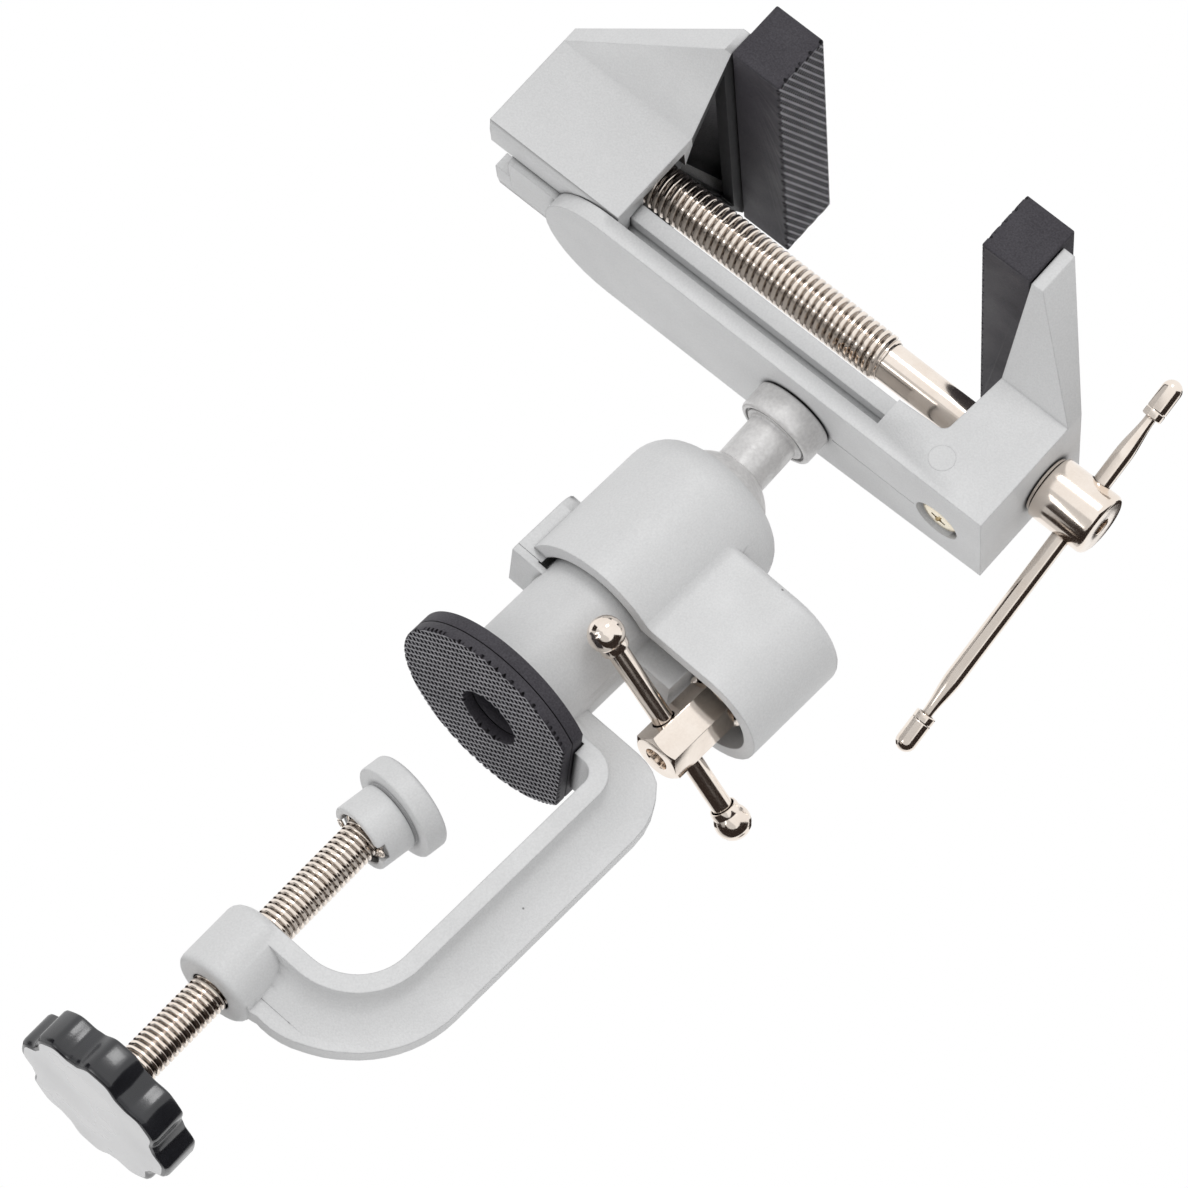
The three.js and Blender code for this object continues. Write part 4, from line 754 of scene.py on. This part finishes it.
@dataclass
class Knob:
    """Lobed hand knob of the clamp screw."""

    top: float = -98.5
    low: float = -106.5
    crest: float = 17.9
    valley_depth: float = 1.9
    lobes: int = 8
    phase: float = 0.055
    lobe_half: float = 0.13
    hollow_start: float = 0.43
    chamfer: float = 1.1
    recess: float = 12.6
    recess_depth: float = 2.6
    hub: float = 7.0
    around: int = 320

    def radius(self, angle: float) -> float:
        """Args: angle: about the knob. Returns: the lobed outline's radius there."""
        part = ((angle - self.phase) * self.lobes / FULL_TURN) % 1.0
        off = min(part, 1 - part)
        rise = eased((off - self.lobe_half) / (self.hollow_start - self.lobe_half))
        return self.crest - self.valley_depth * rise

    def build(self) -> Pieces:
        """Returns: the knob's body and its flat face."""
        mesh = bmesh.new()
        lobed = [self.radius(FULL_TURN * k / self.around) for k in range(self.around)]

        def ring(inset: float, height: float, circle: float = 0.0) -> List[Vert]:
            """Args: inset, height: the ring's. circle: radius, if round. Returns: the ring."""
            return ring_of(mesh, [(circle or at - inset) * MM for at in lobed], height * MM)

        floor = self.top - self.recess_depth
        low, top, recess, hub = self.low, self.top, self.recess, self.hub
        rows = [ring(*row) for row in (
            (self.chamfer, low + 0.05), (self.chamfer * 0.45, low + 0.25), (0.12, low + 0.8),
            (0, low + 1.3), (0, top - 0.7), (0.2, top - 0.2), (0.7, top), (0, top, recess + 0.4),
            (0, top - 0.4, recess), (0, floor, recess - 0.5), (0, floor, hub),
            (0, top - 0.3, hub), (0, top, hub - 0.3), (0, top, 4.1), (0, low + 2.1, 4.1))]
        bridged(mesh, rows)
        mesh.faces.new(rows[0])
        mesh.faces.new(rows[-1])
        body = moved(mesh_object("knob_body", mesh, 26), SPINDLE)
        face = bmesh.new()
        edge = [(at - self.chamfer - 0.05) * MM for at in lobed]
        rows = [ring_of(face, edge, (low + 0.3) * MM), ring_of(face, edge, low * MM)]
        for radius, lift in ((9.0, 0.0), (5.0, 0.0), (4.4, 0.02), (3.6, 0.02), (3.0, 0.01)):
            rows.append(ring_of(face, [radius * MM] * self.around, (low + lift) * MM))
        bridged(face, rows)
        face.faces.new(rows[0])
        face.faces.new(rows[-1])
        # The knob's flat face gets the painted reflection colour.
        plate = moved(mesh_object("knob_face", face, 26), SPINDLE)
        return [dressed(body, PLASTIC, "clamp_screw", "clamp_knob"),
                dressed(plate, KNOB_FACE_PAINTED_REFLECTION, "clamp_screw")]


@dataclass
class Foot:
    """Pressure foot with its flange, slotted hub end and wire retaining ring."""

    top: float = -21.4
    flange_low: float = -26.3
    low: float = -34.5
    flange_radius: float = 10.0
    radius: float = 7.0
    bore: float = 5.4
    roof: float = 3.4

    def build(self) -> Pieces:
        """Returns: the foot and its ring."""
        flange = self.flange_low
        body = lathed("foot_casting", [
            (0, self.top), (self.flange_radius, self.top, 1.0),
            (self.flange_radius, flange, 0.45), (self.radius - 0.3, flange, 0.2),
            (self.radius - 0.3, flange - 0.6, 0.1), (self.radius, flange - 0.75, 0.2),
            (self.radius, self.low, 0.5), (self.bore, self.low, 0.35),
            (self.bore, self.top - self.roof), (0, self.top - self.roof)], 96)
        slots = [boxed("slot", (-1.7, 1.7), (side * 6.1 - 1.5, side * 6.1 + 1.5),
                       (self.low - 1, self.low + 1.5)) for side in (-1, 1)]
        shaped(body, Boolean.CUT, *slots)
        crease(body, 32)
        moved(body, FOOT, turn("Z", 62))
        ring = lathed("foot_ring_wire", [
            (4.9 + 0.42 * cos(FULL_TURN * k / 12), -32.9 + 0.42 * sin(FULL_TURN * k / 12))
            for k in range(12)], 72, ring=True)
        ear = []
        for side in (-1, 1):
            loop = lathed("wire_loop", [
                (0.65 + 0.34 * cos(FULL_TURN * k / 10), 0.34 * sin(FULL_TURN * k / 10))
                for k in range(10)], 36, ring=True)
            ear.append(moved(loop, turn("Z", 62), shift(0, side * 6.25, -34.15),
                             turn("X", 8 * side)))
        ends = moved(merged("foot_wire_ends", ear), FOOT)
        for wire in (ring, ends):
            crease(wire, 60)
        return [dressed(body, CAST, "foot", "pressure_foot"),
                dressed(ends, NICKEL, "foot"),
                dressed(moved(ring, FOOT), NICKEL, "foot_ring", "foot_retaining_ring")]


@dataclass
class TablePad:
    """Two rubber layers under the barrel; the lower one is knurled."""

    radius: float = 21.5
    flat: float = 18.0
    hole: float = 6.4
    seam: float = 2.4
    top: float = 5.3
    pitch: float = 1.3
    depth: float = 0.7
    net_angle: float = 46.0

    def layer(self, name: str, low: float, high: float) -> Piece:
        """Args: name: the layer's name. low, high: its heights. Returns: the layer."""
        disc = tube(name, self.hole, self.radius, low, high, 128)
        side = boxed("side", (self.flat, 30), (-30, 30), (low - 1, high + 1))
        return rounded(shaped(disc, Boolean.CUT, side), 0.22, 2)

    def build(self) -> Pieces:
        """Returns: the knurled pad and its backing."""
        pad = self.layer("table_pad_rubber", 0.0, self.seam)
        shaped(pad, Boolean.KEEP, knurled("net", 24, 8, self.pitch, self.depth, self.net_angle))
        crease(pad, 30)
        ribs = level_faces(pad, 2, 0.0)
        backing = self.layer("pad_backing_rubber", self.seam + 0.08, self.top)
        crease(backing, 30)
        return [touched_up(dressed(pad, RUBBER, "base", "table_pad"), ribs, GRIP),
                dressed(backing, RUBBER, "base", "pad_backing")]


@dataclass
class JawPad:
    """Rubber jaw pad whose gripping face is knurled."""

    name: str
    node: str
    body: str
    face: float
    side: int
    half: float = 37.5
    low: float = 36.2
    high: float = 49.3
    thick: float = 11.6
    pitch: float = 1.345
    depth: float = 0.7
    net_angle: float = 23.2

    def build(self) -> Pieces:
        """Returns: the pad."""
        back = self.face + self.side * self.thick
        pad = rounded(boxed(self.name, (self.face, back), (-self.half, self.half),
                            (self.low, self.high)), 0.4)
        net = knurled("net", 40, 30, self.pitch, self.depth, self.net_angle)
        facing = Matrix(((0, 0, self.side, 0), (1, 0, 0, 0), (0, 1, 0, 0), (0, 0, 0, 1)))
        moved(net, shift(self.face, 0, 42), facing)
        if self.side < 0:
            net.data.flip_normals()
        shaped(pad, Boolean.KEEP, net)
        shaped(pad, Boolean.CUT, boxed("groove", (back - self.side * 4.1, back + self.side),
                                       (-31.8, 31.8), (38.1, 41.5)))
        crease(pad, 30)
        ribs = level_faces(pad, 0, self.face)
        return [touched_up(dressed(moved(pad, HEAD), RUBBER, self.body, self.node), ribs, GRIP)]


@dataclass
class LockBolt:
    """Hexagon-headed lock bolt with its cross hole, sliding bar and balls."""

    flats: float = 9.7
    low: float = 15.5
    top: float = 31.6
    shank: float = 3.95
    shank_top: float = 51.6
    bar_angle: float = 41.0
    bar_radius: float = 2.1
    near: float = 25.6
    far: float = 20.5
    ball: float = 3.6

    def hexagon(self) -> Piece:
        """Returns: the chamfered, drilled head."""
        corner = self.flats / sqrt(3)
        prism = tube("lock_bolt_head", 0, corner, self.low, self.top, 6)
        moved(prism, turn("Z", self.bar_angle + 30))
        cone = lathed("cone", [
            (0, self.low), (corner - 0.9, self.low, 0.2), (corner + 0.15, self.low + 0.75),
            (corner + 0.15, self.top - 0.6), (corner - 0.8, self.top, 0.2),
            (0, self.top)], 96)
        shaped(prism, Boolean.KEEP, cone)
        rounded(prism, 0.14, 2, 25)
        hole = moved(tube("hole", 0, self.bar_radius + 0.3, -8, 8, 48), shift(0, 0, 21.2),
                     turn("Z", self.bar_angle), ALONG_X)
        bore = lathed("bore", [
            (0, self.low - 1), (2.9, self.low - 1), (2.4, self.low + 0.4),
            (2.3, self.low + 2.0, 0.3), (0, self.low + 2.2)], 48)
        return shaped(prism, Boolean.CUT, hole, bore)

    def build(self) -> Pieces:
        """Returns: the bolt, its bar and the bar's two balls."""
        head = self.hexagon()
        crease(head, 24)
        shank = threaded("lock_thread", self.top - 0.5, self.shank_top, self.shank, 0.5, 1.25, 0.8)
        bolt = moved(merged("lock_bolt_steel", [head, shank]), BOLT)
        pieces = [dressed(bolt, NICKEL, "lock_bolt", "lock_bolt")]
        inner = self.ball - 2.3
        ends = (-(self.near - inner), self.far - inner)
        bar = tube("lock_bar_rod", 0, self.bar_radius, *ends, 48)
        pieces.append(dressed(moved(bar, LOCK_BAR), NICKEL, "lock_bar", "lock_bar"))
        for name, at, way in (("lock_bar_ball_near", -self.near, -1),
                              ("lock_bar_ball_far", self.far, 1)):
            pieces.append(dressed(self.knob(name + "_steel", at, way), NICKEL, "lock_bar", name))
        return pieces

    def knob(self, name: str, at: float, way: int) -> Piece:
        """Args: name: the ball's name. at: its centre along the bar. way: the side it is on.

        Returns: The ball with its collar, seam and drilled seat.
        """
        start = asin((self.bar_radius + 0.75) / self.ball)
        outline = [(0, -1.0), (self.bar_radius + 0.3, -1.0), (self.bar_radius + 0.3, -3.7),
                   (self.bar_radius + 0.6, -3.7), (self.bar_radius + 0.75, -3.2)]
        steps = 26
        for k in range(steps + 1):
            angle = -pi / 2 + start + (pi - start) * k / steps
            dent = 0.1 if k == round(steps * 0.52) else 0.0
            outline.append(((self.ball - dent) * cos(angle), self.ball * sin(angle)))
        outline[-1] = (0, self.ball)
        ball = lathed(name, outline, 64)
        if way < 0:
            moved(ball, turn("X", 180))
        return moved(ball, LOCK_BAR, shift(0, 0, at))


@dataclass
class BallStud:
    """Ball, neck and collar that carry the head."""

    ball: float = 11.5
    neck: float = 5.5
    collar: float = 8.35
    drop: float = 26.5
    collar_top: float = -0.3
    collar_height: float = 6.0

    def build(self) -> Pieces:
        """Returns: the stud."""
        neck, collar, top = self.neck, self.collar, self.collar_top
        low = top - self.collar_height
        last = acos(neck / self.ball)
        ball = [(self.ball * cos(a), self.ball * sin(a) - self.drop)
                for a in (-pi / 2 + (pi / 2 + last) * k / 40 for k in range(41))]
        ball[0] = (0.0, -self.ball - self.drop)
        outline = [
            *ball, (neck, low, 0.5), (neck + 1.1, low, 0.15), (neck + 1.25, low + 0.5, 0.12),
            (neck + 1.6, low + 0.5, 0.12), (neck + 1.75, low, 0.15), (collar, low, 0.7),
            (collar, top, 0.35), (2.8, top), (2.8, top - 13), (0, top - 13)]
        stud = moved(lathed("ball_stud_casting", outline, 96), HEAD, shift(-45.5))
        return [dressed(stud, RAW, "stud", "ball_stud")]


@dataclass
class RetainingScrew:
    """Brass cross-slot screw that holds the lead screw in the block."""

    head: float = 4.3
    low: float = 0.5
    under: float = 1.6
    tip: float = 15.6

    def build(self) -> Pieces:
        """Returns: the screw."""
        screw = lathed("retaining_screw_brass", [
            (0, self.low), (2.4, self.low + 0.03), (self.head - 0.7, self.low + 0.2),
            (self.head, self.low + 0.65, 0.2), (self.head, self.under),
            (1.9, self.under), (1.9, self.tip), (0, self.tip)], 64)
        tools = [moved(boxed("slot", (-1.75, 1.75), (-0.36, 0.36),
                             (self.low - 1, self.low + 0.75)), turn("Z", angle))
                 for angle in (20, 110)]
        tools.append(lathed("dimple", [(0, self.low - 1), (0.95, self.low - 1),
                                       (0.8, self.low + 0.8), (0, self.low + 1.0)], 24))
        shaped(screw, Boolean.CUT, *tools)
        crease(screw, 32)
        return [dressed(moved(screw, HEAD, shift(-10.75)), BRASS, "head", "retaining_screw")]


@dataclass
class CastDetails:
    """Mould marks on the castings: a parting line and an ejector mark."""

    def build(self) -> Pieces:
        """Returns: the marks, each fixed to its casting."""
        line = rounded(boxed("bed_parting_line", (-36.5, -16.2), (0.2, 0.42), (-0.06, 0.2)),
                       0.05, 1)
        mark = lathed("ejector_mark", [
            (0, -0.3), (2.75, -0.3), (2.62, 0.03), (0, 0.045)], 64, smooth=60)
        moved(mark, HEAD, shift(-14.3, -14.75, 5.9), turn("X", 90))
        return [dressed(moved(line, HEAD), CAST, "head"), dressed(mark, CAST, "head")]


@dataclass
class Castings:
    """Painted castings: copies of their CAD solids with smooth curves and soft edges."""

    nodes: Dict[str, Piece]
    bodies: Tuple[Tuple[str, str], ...] = (("clamp_frame", "base"), ("socket_cap", "base"),
                                           ("vise_bed", "head"), ("moving_jaw", "jaw"))
    # Boxes whose faces get painted shade: node, finish, frame, low corner, high corner, and the way
    # the faces turn (all zero for any way).
    painted_shade_boxes: Tuple[Tuple[str, Finish, Matrix, Point3, Point3, Point3], ...] = (
        ("moving_jaw", POCKET_PAINTED_SHADE, HEAD, (-122.6, -12, 7), (-92.9, 12, 23.2), (0, 0, 0)),
        ("moving_jaw", POCKET_PAINTED_SHADE, HEAD, (-96.5, -37.6, 28), (-91, 37.6, 50), (0.99, 0, -0.13)),
        ("moving_jaw", POCKET_PAINTED_SHADE, HEAD, (-96.5, -37.6, 30), (-91, 37.6, 37), (0, 0, -1)),
        ("moving_jaw", DIM_PAINTED_SHADE, HEAD, (-126, -37.6, 20), (-91, 37.6, 48), (0.56, 0, -0.83)),
        ("clamp_frame", POCKET_PAINTED_SHADE, shift(), (-6.7, -6.7, 5.6), (6.7, 6.7, 24), (0, 0, 0)))
    flat: float = 0.4
    curve: float = 36.0
    same_way: float = 0.96
    barrel: float = 12.72
    boss: float = 8.31
    seam: float = 0.36
    lip: float = 1.75
    lip_edge: Tuple[Point2, ...] = ((6.0, -73.0), (9.5, -73.2), (12.0, -73.5), (14.2, -73.45),
                                    (16.5, -73.1), (18.7, -72.45), (21.5, -71.2),
                                    (24.0, -69.85), (26.0, -68.45), (27.6, -67.05),
                                    (26.0, -66.8), (24.0, -68.2), (6.0, -69.0))

    def _trim_root(self, frame: Piece) -> None:
        """Gives the arm's lip its curved run into the boss.

        Args: frame: the clamp frame's casting.
        """
        cuts = [shaped(boxed("root_cut", (6, 21), (low, high), (-77, -70.25)), Boolean.CUT,
                       moved(tube("boss_core", 0, self.boss, -80, -60, 128), SPINDLE))
                for low, high in ((self.lip, 8), (-8, -self.lip))]
        mesh = bmesh.new()
        near, far = [[mesh.verts.new((x * MM, side * self.lip * MM, z * MM))
                      for x, z in self.lip_edge] for side in (-1, 1)]
        mesh.faces.new(near)
        mesh.faces.new(far[::-1])
        bridged(mesh, (near, far))
        shaped(frame, Boolean.CUT, *cuts)
        shaped(frame, Boolean.JOIN, mesh_object("arm_lip", mesh, self.curve))

    def _trim_ear(self, frame: Piece) -> None:
        """Fits the frame's ear under the cap's ear.

        Args: frame: the clamp frame's casting.
        """
        cut = boxed("ear_cut", (-22, -6), (-8, 8), (23.5, 26.3))
        core = tube("ear_core", 0, self.barrel, 20, 30, 128)
        shaped(frame, Boolean.CUT, shaped(cut, Boolean.CUT, core))
        ear = linked("ear", frame.data.copy())
        shaped(ear, Boolean.KEEP, boxed("ear_box", (-22, -13.4), (-8, 8), (26.8, 28)))
        shaped(frame, Boolean.JOIN, moved(ear, shift(0, 0, self.seam)))

    def _paint_shade_in_hollows(self, piece: Piece, name: str) -> Piece:
        """Paints shade onto the faces in a casting's hollows with darker finishes.

        Args: piece: the dressed casting. name: its CAD node.
        Returns: The same casting.
        """
        for node, finish, frame, low, high, way in self.painted_shade_boxes:
            if node != name:
                continue
            back = frame.inverted()
            found = []
            for face in piece.data.polygons:
                at = (back @ face.center) / MM
                inside = all(a < value < b for a, value, b in zip(low, at, high))
                facing = (back.to_3x3() @ face.normal).dot(Vector(way))
                if inside and (not any(way) or facing > self.same_way):
                    found.append(face.index)
            touched_up(piece, found, finish)
        return piece

    def build(self) -> Pieces:
        """Returns: the castings."""
        done = []
        for name, body in self.bodies:
            node = self.nodes[name]
            mesh = bmesh.new()
            mesh.from_mesh(node.data)
            mesh.transform(node.matrix_world)
            bmesh.ops.remove_doubles(mesh, verts=mesh.verts, dist=0.001 * MM)
            bmesh.ops.dissolve_limit(mesh, angle_limit=radians(self.flat),
                                     verts=mesh.verts, edges=mesh.edges)
            piece = mesh_object(name + "_casting", mesh, self.curve)
            if name == "clamp_frame":
                self._trim_root(piece)
                self._trim_ear(piece)
                crease(piece, self.curve)
            piece.modifiers.new("even", "WEIGHTED_NORMAL").keep_sharp = True
            finish = BED_CAST if name == "vise_bed" else CAST
            done.append(self._paint_shade_in_hollows(dressed(baked(piece), finish, body, name), name))
        return done


@dataclass
class CarriedNodes:
    """CAD nodes that stay as they are and get their finishes here."""

    nodes: Dict[str, Piece]

    def build(self) -> Pieces:
        """Returns: the dressed CAD nodes."""
        finishes = {"ball_seat": NYLON, "lock_washer": NICKEL, "stud_screw": NICKEL}
        for name, finish in finishes.items():
            self.nodes[name].material_slots[0].material = finish.material()
        return [self.nodes[name] for name in finishes]


@dataclass
class Studio:
    """Camera, soft lamps, white surroundings, dark flags and a pale floor."""

    lens: float = 196.97
    target: Point3 = (0.0, 0.0, 0.03)

    def camera(self) -> None:
        """Sets the camera that matches the photograph."""
        data = bpy.data.cameras.new("camera")
        data.sensor_width = 36.0
        data.lens = self.lens
        data.clip_start = 0.05
        data.clip_end = 20.0
        eye = linked("camera", data)
        eye.matrix_world = Matrix((
            (0.736498, -0.627602, 0.252363, 0.303771),
            (-0.066294, -0.438248, -0.896406, -1.090366),
            (0.673184, 0.643471, -0.364375, -0.410678),
            (0.0, 0.0, 0.0, 1.0)))
        bpy.context.scene.camera = eye

    def lamp(self, name: str, towards: Sequence[float], distance: float, size: float,
             level: float) -> None:
        """Adds a square soft lamp.

        Args: name: a name. towards, distance: its direction and metres from the object. size:
            its side. level: light on a surface facing it, where 1 shows white as white.
        """
        data = bpy.data.lights.new(name, "AREA")
        data.size = size
        data.energy = level * pi ** 2 * distance ** 2
        lamp = linked(name, data)
        way = Vector(towards).normalized()
        lamp.location = Vector(self.target) + way * distance
        lamp.rotation_euler = way.to_track_quat("Z", "Y").to_euler()

    def screen(self, name: str, spread: Point2, around: Point2, distance: float = 1.0) -> None:
        """Adds a curved dark cloth that only shows in reflections.

        Args: name: a name. spread: its reach in degrees from the way to the camera. around: its
            reach in degrees about that way, from the picture's right. distance: in metres.
        """
        eye = bpy.context.scene.camera.matrix_world.to_3x3()
        right, up, back = eye.col[0], eye.col[1], eye.col[2]
        mesh = bmesh.new()
        steps = 16
        grid = []
        for i in range(steps + 1):
            tilt = radians(spread[0] + (spread[1] - spread[0]) * i / steps)
            row = []
            for k in range(steps + 1):
                angle = radians(around[0] + (around[1] - around[0]) * k / steps)
                way = (back * cos(tilt) + right * sin(tilt) * cos(angle)
                       + up * sin(tilt) * sin(angle))
                row.append(mesh.verts.new(Vector(self.target) + way * distance))
            grid.append(row)
        bridged(mesh, grid, wrap=False)
        cloth = mesh_object(name, mesh, 60)
        cloth.data.materials.append(FLAG.material())
        cloth.visible_camera = False
        cloth.visible_diffuse = False
        cloth.visible_shadow = False

    def floor(self, height: float, size: float) -> None:
        """Adds the pale floor.

        Args: height: its level. size: its side, both in millimetres.
        """
        reach = (-size / 2, size / 2)
        floor = boxed("floor", reach, reach, (height - 10, height))
        floor.data.materials.append(FLOOR.material())

    def world(self, light: float) -> None:
        """Sets white surroundings for what is seen, and plain light for what is lit.

        Args: light: strength of the light that falls on the object.
        """
        world = bpy.data.worlds.new("studio")
        bpy.context.scene.world = world
        graph = Graph(world)
        path = graph.add("LightPath").outputs
        seen = graph.joined("MAXIMUM", path["Is Camera Ray"], path["Is Glossy Ray"])
        clear = graph.joined("MAXIMUM", seen, path["Is Transmission Ray"])
        back = graph.add("Background", Color=(1.0, 1.0, 1.0, 1.0))
        graph.link(graph.ramp(clear, light, 1.0, 0.0, 1.0), back.inputs["Strength"])
        graph.link(back.outputs["Background"], graph.add("OutputWorld").inputs["Surface"])

    def build(self) -> None:
        """Builds the studio."""
        scene = bpy.context.scene
        scene.view_settings.view_transform = "Standard"
        self.camera()
        self.world(0.77)
        self.lamp("front_lamp", (-0.19, -0.91, 0.36), 1.6, 0.42, 0.16)
        self.lamp("low_lamp", (-0.35, -0.45, -0.85), 1.5, 0.7, 0.14)
        self.screen("screen_below", (46, 108), (-168, -4))
        self.screen("screen_upper_left", (66, 100), (140, 166))
        self.screen("screen_right", (118, 160), (-24, 4))
        self.screen("screen_left", (118, 158), (-184, -154))
        self.floor(-1700, 6000)


def main() -> None:
    """Builds the scene, piece by piece, and reports each one."""
    logging.basicConfig(level=logging.INFO, format="%(message)s")
    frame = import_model()
    assemblies = [
        CarriedNodes(frame["nodes"]), Castings(frame["nodes"]),
        LeadScrew(), TommyBar(), ClampScrew(), Knob(), Foot(), TablePad(),
        JawPad("moving_pad_rubber", "moving_pad", "jaw", -79.5, -1),
        JawPad("fixed_pad_rubber", "fixed_pad", "head", -30.2, 1),
        LockBolt(), BallStud(), RetainingScrew(), CastDetails(),
    ]
    for assembly in assemblies:
        for piece in assembly.build():
            LOG.info("%s: %s, %d faces", type(assembly).__name__, piece.name,
                     len(piece.data.polygons))
    Studio().build()


if __name__ == "__main__":
    main()
